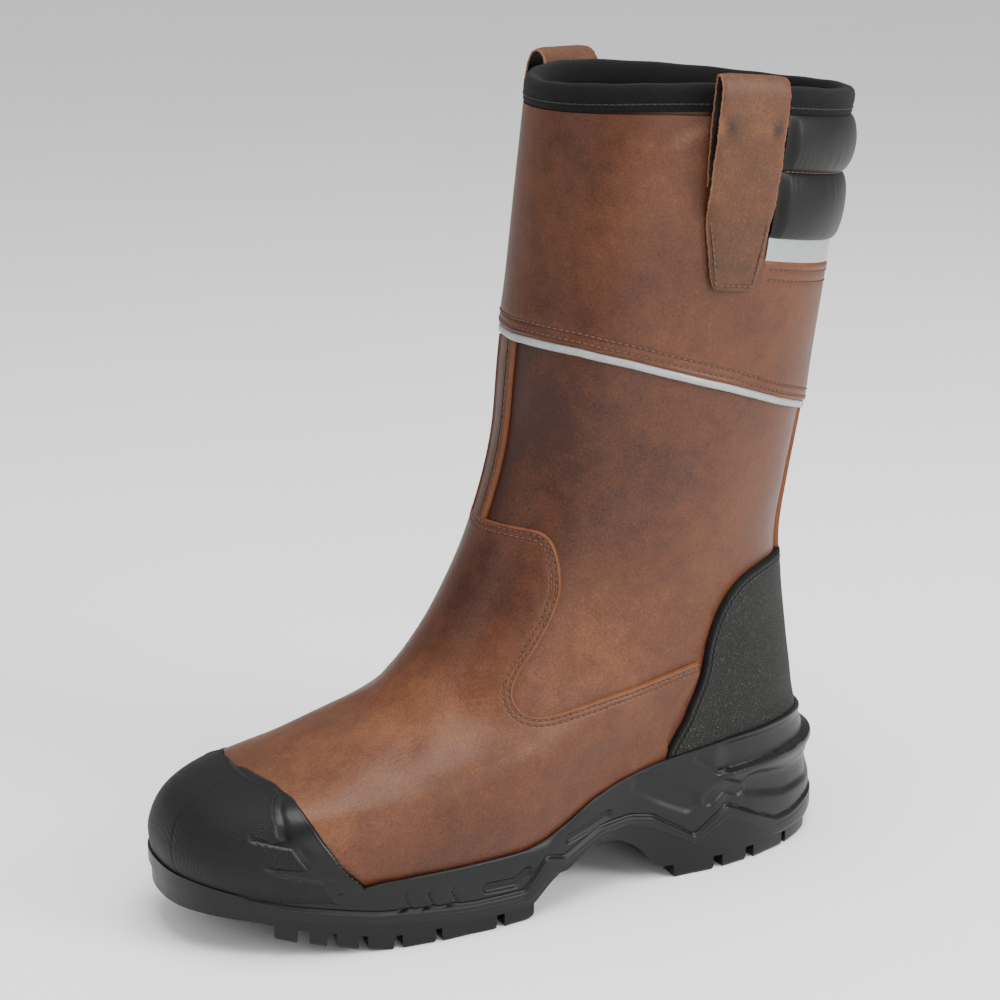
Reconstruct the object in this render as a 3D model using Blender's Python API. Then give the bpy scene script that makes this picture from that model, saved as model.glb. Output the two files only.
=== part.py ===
"""Rigger boot, left foot: one construction for the leather upper, its overlays and the sole.

Frame: +X toward the toe, +Y toward the wearer's left, +Z up, metres.
The origin is on the floor, in the middle of the heel's tread.

The upper is a function of two parameters. v runs from the feather line, where leather meets
sole (0), to the collar (1). u runs once round the leg: 0 at the back, 0.25 on the outer side,
0.5 at the front, 0.75 on the inner side. Every overlay is a region of that same function,
between two offsets along its normal.
"""

import bpy
import numpy as np
from mathutils import Vector

# Driving dimensions
LENGTH = 0.302            # outsole, heel to toe
HEIGHT = 0.331            # floor to the front of the collar
WIDTH = 0.104             # upper across the ball of the foot
HEEL_CENTRE = 0.042       # heel's back edge to the frame's origin
TOE_SWING = 0.008         # how far the toe turns toward the inner side
WALL = 0.0025             # leather and lining of the upper
GAP = 0.0003              # between pieces that lie on each other
LEATHER = 0.0015          # an overlay's thickness
COVER = GAP + LEATHER     # outside of an overlay, above the upper's surface
INSOLE_THICKNESS = 0.003
TREAD_DEPTH = 0.0055      # height of the lugs
SIDE = 0.030              # floor to the highest point of the outsole's edge
SPREAD = 0.011            # how far the sole's wall stands out beyond the feather line
LEDGE = 0.0030            # step in the heel's wall
RIM = 0.0030              # thickness of the midsole's rim, where it is thickest
RIB = 0.0042              # height of the rib over the outsole's edge
BEVEL = 0.0018            # bevel round the tread
LIP = 0.0030              # thickness of the outsole's edge, which stands up round the midsole
CUP_GAP = 0.0007          # between the midsole's cup and the overlays inside it
CUT_CLEARANCE = 0.0014    # between two overlays side by side, in u and v
REACH_IN, REACH_OUT = -0.0020, 0.0090     # how far a cutter's faces lie off the surface

# Upper, one row for each section from the feather line up.
# front_x, back_x: shares of LENGTH from the heel's back edge. front_z, back_z, dip: of HEIGHT.
# left, right: half widths as shares of WIDTH. widest: where along the section that is.
UPPER_COLUMNS = ("front_x", "front_z", "back_x", "back_z", "left", "right",
                 "widest", "front_power", "back_power", "waist", "dip")
UPPER_ROWS = (
    (0.967, 0.073, 0.036, 0.121, 0.471, 0.462, 0.64, 2.45, 2.50, 0.20, 0.030),
    (0.980, 0.127, 0.036, 0.169, 0.510, 0.490, 0.63, 2.50, 2.50, 0.17, 0.024),
    (0.947, 0.170, 0.040, 0.199, 0.500, 0.481, 0.62, 2.50, 2.40, 0.15, 0.015),
    (0.841, 0.196, 0.046, 0.233, 0.481, 0.462, 0.62, 2.20, 2.40, 0.11, 0.006),
    (0.695, 0.242, 0.051, 0.269, 0.442, 0.433, 0.60, 2.10, 2.30, 0.06, 0.000),
    (0.616, 0.310, 0.056, 0.308, 0.413, 0.413, 0.56, 2.10, 2.20, 0.02, 0.000),
    (0.560, 0.387, 0.065, 0.356, 0.413, 0.413, 0.54, 2.10, 2.20, 0.00, 0.000),
    (0.520, 0.465, 0.070, 0.417, 0.423, 0.423, 0.52, 2.10, 2.10, 0.00, 0.000),
    (0.488, 0.562, 0.060, 0.492, 0.442, 0.442, 0.51, 2.10, 2.10, 0.00, 0.000),
    (0.474, 0.671, 0.041, 0.595, 0.471, 0.471, 0.50, 2.10, 2.10, 0.00, 0.000),
    (0.455, 0.822, 0.015, 0.752, 0.490, 0.490, 0.50, 2.10, 2.10, 0.00, 0.000),
    (0.430, 1.000, -0.020, 0.979, 0.510, 0.510, 0.50, 2.10, 2.10, 0.00, -0.012),
)
WAIST_AT = 0.36           # share of a section's length where the arch narrows it
WAIST_SPREAD = 0.15

# Sole, one row for each station from heel to toe. x: share of LENGTH.
# floor, parting, core: shares of SIDE, for the underside, the top of the outsole's lip and
# the top of the outsole inside that lip. spread: wall beyond the feather line, share of SPREAD.
# ledge: how far the wall steps in above the heel's ledge, share of LEDGE.
# lip: thickness of the midsole's rim, share of RIM. rim: v at which it ends on the upper.
SOLE_COLUMNS = ("x", "floor", "parting", "core", "spread", "ledge", "lip", "rim")
SOLE_ROWS = (
    (0.000, 0.050, 0.367, 0.267, 1.000, 1.000, 0.800, 0.088),
    (0.012, 0.033, 0.350, 0.267, 0.982, 1.000, 0.800, 0.092),
    (0.045, 0.000, 0.317, 0.267, 0.909, 1.000, 0.800, 0.104),
    (0.085, 0.000, 0.310, 0.267, 0.864, 1.000, 0.800, 0.113),
    (0.125, 0.000, 0.350, 0.283, 0.836, 0.933, 0.800, 0.121),
    (0.175, 0.000, 0.650, 0.317, 0.818, 0.867, 0.733, 0.131),
    (0.212, 0.000, 0.800, 0.350, 0.818, 0.800, 0.667, 0.132),
    (0.268, 0.000, 0.493, 0.417, 0.800, 0.400, 0.533, 0.130),
    (0.305, 0.000, 0.650, 0.500, 0.782, 0.167, 0.467, 0.126),
    (0.345, 0.400, 0.900, 0.633, 0.764, 0.067, 0.400, 0.118),
    (0.385, 0.583, 0.990, 0.750, 0.727, 0.000, 0.400, 0.108),
    (0.430, 0.617, 0.900, 0.783, 0.691, 0.000, 0.400, 0.091),
    (0.470, 0.483, 0.683, 0.617, 0.664, 0.000, 0.400, 0.064),
    (0.508, 0.267, 0.647, 0.467, 0.636, 0.000, 0.400, 0.046),
    (0.540, 0.000, 0.333, 0.283, 0.636, 0.000, 0.400, 0.040),
    (0.620, 0.000, 0.333, 0.267, 0.636, 0.000, 0.400, 0.048),
    (0.690, 0.000, 0.373, 0.267, 0.636, 0.000, 0.400, 0.052),
    (0.760, 0.000, 0.447, 0.267, 0.636, 0.000, 0.533, 0.053),
    (0.815, 0.100, 0.500, 0.350, 0.636, 0.000, 0.800, 0.043),
    (0.870, 0.207, 0.583, 0.450, 0.636, 0.000, 1.000, 0.033),
    (0.925, 0.333, 0.667, 0.550, 0.664, 0.000, 1.000, 0.030),
    (0.955, 0.367, 0.767, 0.583, 0.691, 0.000, 1.000, 0.038),
    (0.982, 0.383, 0.750, 0.600, 0.727, 0.000, 1.000, 0.044),
    (0.995, 0.373, 0.717, 0.600, 0.727, 0.000, 1.000, 0.044),
    (1.000, 0.367, 0.700, 0.600, 0.727, 0.000, 1.000, 0.044),
)
# Shares of LENGTH at which the upper and what lies on it have their stations
UPPER_STATIONS = (0.0, 0.012, 0.045, 0.085, 0.135, 0.200, 0.270, 0.345, 0.430, 0.530, 0.645,
                  0.745, 0.815, 0.880, 0.935, 0.970, 0.990, 1.0)

# Grooves across the tread. x: share of LENGTH at the middle. slant: degrees.
# width, reach: shares of LENGTH; reach is how far in from the edge the groove goes.
GROOVE_COLUMNS = ("x", "width", "slant", "reach")
GROOVE_ROWS = (
    (0.098, 0.013, 30, 0.085),
    (0.170, 0.016, 14, 0.095),
    (0.226, 0.013, 4, 0.090),
    (0.586, 0.015, 18, 0.140),
    (0.675, 0.014, 8, 0.130),
    (0.737, 0.013, 0, 0.130),
    (0.783, 0.012, -6, 0.120),
    (0.835, 0.012, -12, 0.120),
    (0.895, 0.012, -22, 0.110),
)

# Outlines of the overlays, as (u, v) corners on the upper's function
CAP_EDGE = ((0.308, 0.064), (0.316, 0.082), (0.330, 0.130), (0.348, 0.172), (0.370, 0.203),
            (0.405, 0.236), (0.450, 0.256), (0.495, 0.256), (0.540, 0.242), (0.590, 0.224),
            (0.630, 0.200), (0.655, 0.165), (0.672, 0.125), (0.684, 0.082), (0.692, 0.064))
COUNTER_EDGE = ((0.174, 0.127), (0.170, 0.190), (0.170, 0.250), (0.175, 0.320), (0.183, 0.398),
                (0.189, 0.451), (0.190, 0.501), (0.185, 0.539), (0.173, 0.568), (0.149, 0.588),
                (0.110, 0.598), (0.050, 0.600))
VAMP_TOP = ((0.1905, 0.408), (0.222, 0.395), (0.262, 0.378), (0.290, 0.368), (0.308, 0.373),
            (0.326, 0.388), (0.341, 0.407), (0.349, 0.427), (0.352, 0.450), (0.350, 0.490),
            (0.349, 0.525), (0.352, 0.566), (0.362, 0.598), (0.374, 0.624), (0.387, 0.641),
            (0.404, 0.648), (0.450, 0.646), (0.500, 0.643))
VAMP_SIDES = (0.165, 0.835)      # u limits, under the heel counter
CUFF_BOTTOM = ((0.00, 0.808), (0.08, 0.812), (0.17, 0.820), (0.24, 0.829), (0.29, 0.834),
               (0.34, 0.838), (0.40, 0.840), (0.47, 0.839), (0.50, 0.838))
COLLAR_SEAM = 0.986       # v where cuff and padding end under the binding
PAD_SEAM = 0.962          # v of the seam between the padding's two rolls
PAD_BOTTOM = 0.9285
STRIP_BOTTOM = 0.9185
CUFF_BACK_TOP = 0.9170
PAD_HALF = 0.222          # the padding's half width in u, about the back
ROLL = 0.0038             # how far each roll swells
WINDOW_HALF = PAD_HALF + 0.0015     # half width of the cuff's window for it
SHELF = 0.0050            # the toe cap's outside at its lower edge
SHELF_FADES = 0.20        # v at which the cap has thinned to an overlay
CAP_RISE = 0.008          # v from the midsole's rim up to the cap's lower edge
FOOT_EDGE = 0.012         # v of the overlays' lower edges, inside the midsole's cup
FRONT_STAY = (0.497, 0.548)      # u limits
BACK_STAY = (-0.058, 0.058)

# Pull loop, one row for each turn of its path, from the lower end of its outer ply.
# height: above the collar's edge, share of LOOP_REACH. half: share of LOOP_WIDTH / 2.
# out: outside the upper's surface, share of LOOP_STANDOFF.
LOOP_COLUMNS = ("height", "out", "half")
LOOP_ROWS = (
    (-0.988, 0.33, 0.62), (-0.950, 0.33, 0.72), (-0.775, 0.33, 0.84), (-0.625, 0.34, 0.97),
    (-0.500, 0.61, 1.00), (-0.300, 0.88, 1.00), (-0.125, 1.00, 1.00), (0.000, 0.96, 1.00),
    (0.061, 0.80, 1.00), (0.079, 0.62, 1.00), (0.066, 0.43, 1.00), (0.013, 0.35, 1.00),
    (-0.125, 0.35, 1.00), (-0.300, 0.35, 1.00), (-0.450, 0.35, 1.00),
)
LOOP_REACH = 0.080
LOOP_STANDOFF = 0.010
FREE_FROM = 0.3           # share of LOOP_STANDOFF off the sewn part where the strap is flat across
LOOP_BULGES = (1.0, 1.5)   # how far the outer and the inner loop stand off, as a factor
LOOP_WIDTH = 0.031
LOOP_THICKNESS = 0.0020
LOOP_AT = PAD_HALF + 0.032     # u of the outer loop's middle, over the padding's end
INNER_LOOP_AT = 1 - PAD_HALF - 0.090   # u of the inner loop's middle, further to the front
BINDING_RISE = 0.0018     # binding's thickness over the collar's edge

LEVELS = 15               # of the upper, from feather line to collar

COLOURS = {
    "rubber": ((0.020, 0.021, 0.022), 0.55),
    "polyurethane": ((0.028, 0.029, 0.030), 0.45),
    "leather": ((0.150, 0.055, 0.028), 0.50),
    "dark leather": ((0.100, 0.040, 0.024), 0.55),
    "textile": ((0.022, 0.023, 0.022), 0.85),
    "reflective": ((0.520, 0.540, 0.540), 0.40),
    "board": ((0.060, 0.060, 0.062), 0.90),
}


def table(columns, rows):
    """A table as one array for each named column."""
    return dict(zip(columns, np.array(rows, float).T))


UPPER = table(UPPER_COLUMNS, UPPER_ROWS)
SOLE = table(SOLE_COLUMNS, SOLE_ROWS)


def smooth(values, at):
    """Cubic through evenly spaced values, with slopes averaged from the neighbours."""
    last = len(values) - 1
    slopes = np.gradient(values)
    position = np.clip(at, 0, 1) * last
    start = np.minimum(position.astype(int), last - 1)
    t = position - start
    rise = values[start + 1] - values[start]
    first = slopes[start]
    second = slopes[start + 1]
    return (values[start] + t * first + t**2 * (3 * rise - 2 * first - second)
            + t**3 * (first + second - 2 * rise))


def skin(u, v):
    """Points of the upper's outer surface: a section curve between a back and a front point."""
    u, v = np.broadcast_arrays(np.asarray(u, float), np.asarray(v, float))
    row = {name: smooth(values, v) for name, values in UPPER.items()}
    across = np.sin(2 * np.pi * u)
    along = np.cos(2 * np.pi * u)
    power = np.where(along < 0, row["front_power"], row["back_power"])
    reach = np.abs(along) ** (2 / power)
    share = np.where(along < 0, row["widest"] + (1 - row["widest"]) * reach,
                     row["widest"] * (1 - reach))
    half = np.where(across >= 0, row["left"], row["right"]) * WIDTH
    half = half * (1 - row["waist"] * np.exp(-((share - WAIST_AT) / WAIST_SPREAD) ** 2))
    y = np.sign(across) * np.abs(across) ** (2 / power) * half
    swing = np.clip((share - 0.45) / 0.55, 0, 1) ** 2 * np.clip(1 - 2.2 * v, 0, 1)
    x = (row["back_x"] + (row["front_x"] - row["back_x"]) * share) * LENGTH - HEEL_CENTRE
    z = (row["back_z"] + (row["front_z"] - row["back_z"]) * share
         - row["dip"] * np.sin(np.pi * share**1.6)) * HEIGHT
    return np.stack([x, y - TOE_SWING * swing, z], axis=-1)


def normal(u, v):
    """Unit normals of the skin, pointing out."""
    step = 1e-3
    round_it = skin(np.add(u, step), v) - skin(np.subtract(u, step), v)
    up_it = skin(u, np.minimum(np.add(v, step), 1)) - skin(u, np.maximum(np.subtract(v, step), 0))
    across = np.cross(up_it, round_it)
    return across / np.linalg.norm(across, axis=-1, keepdims=True)


def surface(u, v, out=0.0):
    """The skin, moved out along its normal."""
    return skin(u, v) + normal(u, v) * np.asarray(out, float)[..., None]


def over_collar(u, height, out):
    """Points by their height over the collar's edge, also where that is above the leather."""
    per_metre = 0.1 / np.linalg.norm(skin(u, 1.0) - skin(u, 0.9), axis=-1)
    points = surface(u, 1 + np.minimum(height, 0) * per_metre, out)
    points[..., 2] += np.maximum(height, 0)
    return points


def at_x(shares):
    """u on the outer side where the feather line passes these shares of its own length."""
    trial = np.linspace(0, 0.5, 4001)
    x = skin(trial, 0.0)[:, 0]
    return np.interp(x[0] + np.asarray(shares) * (x[-1] - x[0]), x, trial)


def feather_height(x):
    """Height of the feather line at x."""
    line = skin(np.linspace(0, 0.5, 2001), 0.0)
    return np.interp(x, line[:, 0], line[:, 2])


def along(points, count):
    """Points evenly spaced along a polyline."""
    points = np.array(points, float)
    run = np.concatenate([[0], np.cumsum(np.linalg.norm(np.diff(points, axis=0), axis=1))])
    even = np.linspace(0, run[-1], count)
    return np.stack([np.interp(even, run, column) for column in points.T], axis=-1)


def mirrored(edge):
    """An outline on the outer side, followed by the same one on the inner side."""
    edge = np.array(edge, float)
    other = edge[::-1] * (-1, 1) + (1, 0)
    return np.concatenate([edge, other[1:]])


def grown(edge, clearance):
    """An outline moved to its right, seen along its way on the (u, v) chart."""
    edge = np.array(edge, float)
    ahead = np.gradient(edge, axis=0)
    right = np.stack([ahead[:, 1], -ahead[:, 0]], axis=-1)
    return edge + clearance * right / np.linalg.norm(right, axis=1)[:, None]


def round_stations(low=None, high=None):
    """The u of the upper's stations: all of them, or those between two limits and the limits."""
    outer = at_x(UPPER_STATIONS)
    if low is None:
        return np.concatenate([outer, 1 - outer[-2:0:-1]])
    every = np.concatenate([outer - 1, -outer[:0:-1], outer, 1 - outer[-2::-1]])
    every = np.unique(np.round(every, 9))
    clear = 0.003
    inside = every[(every > low + clear) & (every < high - clear)]
    return np.concatenate([[low], inside, [high]])


def make_object(name, points, faces, finish):
    """A mesh object with its own material."""
    colour, roughness = COLOURS[finish]
    mesh = bpy.data.meshes.new(name)
    mesh.from_pydata(points.tolist(), [], faces)
    mesh.validate()
    mesh.shade_smooth()
    mesh.set_sharp_from_angle(angle=0.6)
    material = bpy.data.materials.new(name)
    material.use_nodes = True
    shader = material.node_tree.nodes["Principled BSDF"]
    shader.inputs["Base Color"].default_value = (*colour, 1.0)
    shader.inputs["Roughness"].default_value = roughness
    shader.inputs["Metallic"].default_value = 0.0
    mesh.materials.append(material)
    thing = bpy.data.objects.new(name, mesh)
    bpy.context.scene.collection.objects.link(thing)
    return thing


def band_faces(rings, size):
    """Quads between following rings of the same size, each ring closed."""
    here = range(size)
    return [(a * size + (i + 1) % size, a * size + i, b * size + i, b * size + (i + 1) % size)
            for a, b in rings for i in here]


def split(quads, forward):
    """Each quad as two triangles, so that layers on one another are cut along one diagonal."""
    if forward:
        return [half for p, q, r, s in quads for half in ((p, q, s), (q, r, s))]
    return [half for p, q, r, s in quads for half in ((p, q, r), (p, r, s))]


def tube(name, rings, finish):
    """A solid whose section closes on itself: the first half of the rings goes up, outside."""
    count, size = rings.shape[:2]
    pairs = [(k, (k + 1) % count) for k in range(count)]
    faces = split(band_faces(pairs[:count // 2], size), True)
    faces += split(band_faces(pairs[count // 2:], size), False)
    return make_object(name, rings.reshape(-1, 3), faces, finish)


def stack(name, rings, finish):
    """A solid of rings from bottom to top, closed by strips from its left to its right side."""
    count, size = rings.shape[:2]
    faces = band_faces([(k, k + 1) for k in range(count - 1)], size)
    for first, top in ((0, False), ((count - 1) * size, True)):
        strips = [(i, i + 1, size - i - 1, size - i) for i in range(1, size // 2 - 1)]
        strips = [(0, 1, size - 1), *strips, (size // 2 - 1, size // 2, size // 2 + 1)]
        strips = [tuple(first + i for i in strip) for strip in strips]
        faces += [strip[::-1] for strip in strips] if top else strips
    return make_object(name, rings.reshape(-1, 3), faces, finish)


def sheet_solid(name, outer, inner, finish):
    """A solid between two grids of points of the same shape."""
    rows, columns = outer.shape[:2]
    index = np.arange(rows * columns).reshape(rows, columns)
    quads = np.stack([index[:-1, :-1], index[:-1, 1:], index[1:, 1:], index[1:, :-1]], axis=-1)
    quads = quads.reshape(-1, 4)
    border = np.concatenate([index[0, :-1], index[:-1, -1], index[-1, :0:-1], index[:0:-1, 0]])
    after = np.roll(border, -1)
    under = rows * columns
    walls = np.stack([after, border, border + under, after + under], axis=-1)
    faces = np.concatenate([quads, quads[:, ::-1] + under, walls])
    points = np.concatenate([outer.reshape(-1, 3), inner.reshape(-1, 3)])
    return make_object(name, points, faces.tolist(), finish)


def chart_grid(lower, upper, rows):
    """(u, v) between two edges with equally many corners."""
    share = np.linspace(0, 1, rows)[:, None, None]
    return np.asarray(lower) * (1 - share) + np.asarray(upper) * share


def patch(name, lower, upper, rows, finish, outside):
    """A solid on the skin between two edges, both running toward lower u.

    outside: how far out its outer face lies, for each row from the lower edge.
    """
    grid = chart_grid(lower, upper, rows)
    out = np.broadcast_to(np.asarray(outside)[:, None], grid.shape[:2])
    u, v = grid[..., 0], grid[..., 1]
    return sheet_solid(name, surface(u, v, out), surface(u, v, GAP), finish)


def region(name, lower, upper, rows=5):
    """A cutter that covers the chart between two edges, from below to above the overlays."""
    grid = chart_grid(lower, upper, rows)
    u, v = grid[..., 0], grid[..., 1]
    thing = sheet_solid(name, surface(u, v, REACH_OUT), surface(u, v, REACH_IN), "leather")
    return hide(thing)


def hide(thing):
    """Mark an object as a cutter."""
    thing.hide_render = True
    thing.display_type = "WIRE"
    return thing


def shell(name, finish, outside=None):
    """A layer round the whole upper, on the same stations and levels, to cut an overlay from."""
    u = round_stations()
    v = levels_by_height()
    out = np.full(len(v), COVER) if outside is None else outside
    outer = [surface(u, level, np.full(len(u), far)) for level, far in zip(v, out)]
    inner = [surface(u, level, np.full(len(u), GAP)) for level in v[::-1]]
    return tube(name, np.array(outer + inner), finish)


def carve(target, tool, operation="DIFFERENCE"):
    """Cut the tool out of the target, or keep only what both share."""
    boolean = target.modifiers.new(tool.name, "BOOLEAN")
    boolean.operation = operation
    boolean.solver = "EXACT"
    boolean.object = tool


def levels_by_height():
    """v of the upper's rings, closer together where the ankle bends."""
    return np.interp(np.linspace(0, 1, LEVELS), (0, 0.3, 0.75, 1), (0, 0.26, 0.72, 1))


def build_upper():
    """The hollow leather upper: outer skin up, inner skin down."""
    u = round_stations()
    v = levels_by_height()
    outside = [surface(u, level, np.zeros(len(u))) for level in v]
    inside = [surface(u, level, np.full(len(u), -WALL)) for level in v[::-1]]
    return tube("upper", np.array(outside + inside), "leather")


class Wall:
    """The sole's side: stations round the feather line, and rings at named heights."""

    def __init__(self):
        outer = at_x(SOLE["x"])
        self.u = np.concatenate([outer, 1 - outer[-2:0:-1]])
        order = np.arange(len(outer))
        self.station = np.concatenate([order, order[-2:0:-1]])
        self.feather = skin(self.u, 0.0)
        ahead = np.roll(self.feather, -1, axis=0) - np.roll(self.feather, 1, axis=0)
        side = np.stack([ahead[:, 1], -ahead[:, 0], 0 * ahead[:, 0]], axis=-1)
        self.side = side / np.linalg.norm(side, axis=1)[:, None]
        if self.side[1, 1] < 0:
            self.side = -self.side

    def column(self, name):
        """A column of the sole's table, at every station."""
        return SOLE[name][self.station]

    def ring(self, height, tuck=0.0):
        """A ring at this height, set in from the wall by tuck."""
        spread = self.column("spread") * SPREAD - tuck
        points = self.feather + self.side * spread[:, None]
        points[:, 2] = height
        return points

    def on_upper(self, v, out):
        """A ring on the upper's surface."""
        return surface(self.u, v, np.broadcast_to(out, self.u.shape))

    def height(self, name):
        """One of the table's heights at every station, in metres."""
        return self.column(name) * SIDE


def build_outsole(wall):
    """The rubber outsole, its lip round the midsole, its tread cut into lugs."""
    floor, parting, core = wall.height("floor"), wall.height("parting"), wall.height("core")
    rings = np.array([
        wall.ring(floor, BEVEL + 0.0004),
        wall.ring(floor + BEVEL, 0.0004),
        wall.ring(floor + 0.6 * (parting - floor), -0.0004),
        wall.ring(parting, 0.0004),
        wall.ring(parting, LIP),
        wall.ring(core, LIP),
    ])
    outsole = stack("outsole", rings, "rubber")
    cut_tread(outsole)
    return outsole


def cut_tread(outsole):
    """Grooves from both edges toward the middle, each its own cutter."""
    grooves = table(GROOVE_COLUMNS, GROOVE_ROWS)
    trial = np.linspace(0, 0.5, 2001)
    line = skin(trial, 0.0)
    for side in (1, -1):
        for number, (x, width, slant, reach) in enumerate(zip(*grooves.values())):
            place = x * LENGTH - HEEL_CENTRE
            u = np.interp(place, line[:, 0], trial)
            edge = skin(u if side > 0 else 1 - u, 0.0)
            spread = np.interp(x, SOLE["x"], SOLE["spread"]) * SPREAD
            lift = np.interp(x, SOLE["x"], SOLE["floor"]) * SIDE
            turn = np.radians(slant) * side
            inward = Vector((-np.sin(turn) * side, -np.cos(turn) * side, 0))
            middle = Vector((edge[0], edge[1] + side * spread, lift))
            length = reach * LENGTH
            middle += inward * (length / 2 - 0.006)
            box = cutter(f"groove_{number}_{side}", (width * LENGTH, length, 2 * TREAD_DEPTH))
            box.location = middle
            box.rotation_euler = (0, 0, -turn)
            carve(outsole, box)


def cutter(name, size):
    """A box that only cuts."""
    corners = np.array([(x, y, z) for x in (-0.5, 0.5) for y in (-0.5, 0.5) for z in (-0.5, 0.5)])
    faces = [(0, 1, 3, 2), (4, 6, 7, 5), (0, 4, 5, 1), (2, 3, 7, 6), (0, 2, 6, 4), (1, 5, 7, 3)]
    mesh = bpy.data.meshes.new(name)
    mesh.from_pydata((corners * size).tolist(), [], faces)
    thing = bpy.data.objects.new(name, mesh)
    bpy.context.scene.collection.objects.link(thing)
    return hide(thing)


def build_midsole(wall):
    """The midsole: a rib over the outsole, the heel's ledge, and a cup round the upper."""
    parting, core = wall.height("parting"), wall.height("core")
    ledge = wall.column("ledge") * LEDGE
    rim = wall.column("rim")
    lip = wall.on_upper(rim, COVER + CUP_GAP + wall.column("lip") * RIM)
    top = lip[:, 2]
    rib = parting + RIB
    rise = top - rib

    def toward(lip_share, height, tuck):
        """A ring between the wall and the lip."""
        points = wall.ring(height, tuck)
        points[:, :2] += lip_share * (lip[:, :2] - points[:, :2])
        return points

    def bed(out):
        """A ring at the feather line, just under it."""
        points = wall.on_upper(0.0, out)
        points[:, 2] = feather_height(points[:, 0]) - GAP
        return points

    cup = [wall.on_upper(share * rim, COVER + CUP_GAP) for share in (1.0, 0.66, 0.33)]
    rings = np.array([
        wall.ring(core + GAP, LIP + GAP),
        wall.ring(parting + GAP, LIP + GAP),
        wall.ring(parting + GAP, 0.0006),
        wall.ring(rib - 0.0010, 0.0),
        wall.ring(rib, 0.0014),
        toward(0.08, rib + 0.45 * rise, 0.0014 - 0.7 * ledge),
        toward(0.20, rib + 0.60 * rise, 0.0010 - 0.5 * ledge),
        toward(0.30, rib + 0.63 * rise, 0.0010 + 0.5 * ledge),
        toward(0.70, top - 0.0035, 0.0),
        lip,
        *cup,
        bed(COVER + CUP_GAP),
        bed(-WALL),
    ])
    return stack("midsole", rings, "polyurethane")


def build_insole(wall):
    """The footbed on the midsole, inside the upper."""
    low = wall.on_upper(0.0, -WALL - 3 * GAP)
    low[:, 2] = feather_height(low[:, 0])
    high = low + (0, 0, INSOLE_THICKNESS)
    return stack("insole", np.array([low, high]), "board")


def rim_at(u):
    """v of the midsole's rim at these u."""
    return np.interp(np.minimum(np.abs(u), 1 - np.abs(u)), at_x(SOLE["x"]), SOLE["rim"])


def cap_region(name, clearance=0.0):
    """The toe cap's part of the chart."""
    edge = along(CAP_EDGE, 19)[::-1]
    sole = np.stack([edge[:, 0], rim_at(edge[:, 0]) + CAP_RISE], axis=-1)
    if clearance:
        edge = grown(edge, clearance)
        sole = np.stack([edge[:, 0], np.zeros(len(edge))], axis=-1)
    return region(name, sole, edge)


def counter_region(name, clearance=0.0):
    """The heel counter's part of the chart, from the outer side round the back."""
    edge = np.array(COUNTER_EDGE)
    edge = grown(along(np.concatenate([edge, edge[::-1] * (-1, 1)]), 21), clearance)
    foot = np.linspace(edge[0][0], edge[-1][0], len(edge))
    low = 0.0 if clearance else FOOT_EDGE
    return region(name, np.stack([foot, np.full(len(edge), low)], axis=-1), edge)


def build_toe_cap():
    """The moulded cap: thick on the sole's rim, thin where it ends on the vamp."""
    fall = np.clip(1 - levels_by_height() / SHELF_FADES, 0, 1)
    cap = shell("toe_cap", "polyurethane", COVER + 0.0003 + (SHELF - COVER) * fall)
    carve(cap, cap_region("toe_cap_region"), "INTERSECT")


def build_counter():
    """The textile heel counter."""
    carve(shell("heel_counter", "textile"), counter_region("counter_region"), "INTERSECT")


def build_vamp():
    """The vamp: along the sole on both sides and over the instep, between cap and counter."""
    top = mirrored(along(VAMP_TOP, 22))[::-1]
    top = np.concatenate([[(VAMP_SIDES[1], top[0][1])], top, [(VAMP_SIDES[0], top[-1][1])]])
    foot = np.stack([np.linspace(*VAMP_SIDES[::-1], len(top)),
                     np.full(len(top), FOOT_EDGE)], axis=-1)
    vamp = shell("vamp", "leather")
    carve(vamp, region("vamp_region", foot, top, 14), "INTERSECT")
    carve(vamp, cap_region("cap_clearance", CUT_CLEARANCE))
    carve(vamp, counter_region("counter_clearance", CUT_CLEARANCE))


def build_cuff():
    """The leather band round the shaft, with a window at the back for strip and padding."""
    u = round_stations()
    bottom = np.interp(np.minimum(u, 1 - u), *np.array(CUFF_BOTTOM).T)
    corners = ((bottom, REACH_IN), (bottom, REACH_OUT),
               (COLLAR_SEAM, REACH_OUT), (COLLAR_SEAM, REACH_IN))
    rings = [surface(u, np.broadcast_to(v, u.shape), out) for v, out in corners]
    ring = hide(tube("cuff_region", np.array(rings), "leather"))
    sides = round_stations(-WINDOW_HALF, WINDOW_HALF)[::-1]
    window = [np.stack([sides, np.full(len(sides), v)], axis=-1) for v in (CUFF_BACK_TOP, 0.999)]
    cuff = shell("cuff", "leather")
    carve(cuff, ring, "INTERSECT")
    carve(cuff, region("cuff_window", *window, 3))


def build_piping():
    """The reflective piping under the cuff's lower edge."""
    u = round_stations()
    edge = np.interp(np.minimum(u, 1 - u), *np.array(CUFF_BOTTOM).T) - 0.0008
    section = ((0.0, GAP), (0.0, COVER + 0.0007), (-0.0055, COVER + 0.0001), (-0.0055, GAP))
    rings = [surface(u, edge + drop, np.full(len(u), out)) for drop, out in section[::-1]]
    return tube("cuff_piping", np.array(rings), "reflective")


def back_band(name, low, high, rows, finish, outside):
    """A band round the back of the collar, between two values of v."""
    u = round_stations(-PAD_HALF, PAD_HALF)[::-1]
    edges = [np.stack([u, np.full(len(u), v)], axis=-1) for v in (low, high)]
    return patch(name, *edges, rows, finish, outside)


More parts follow.
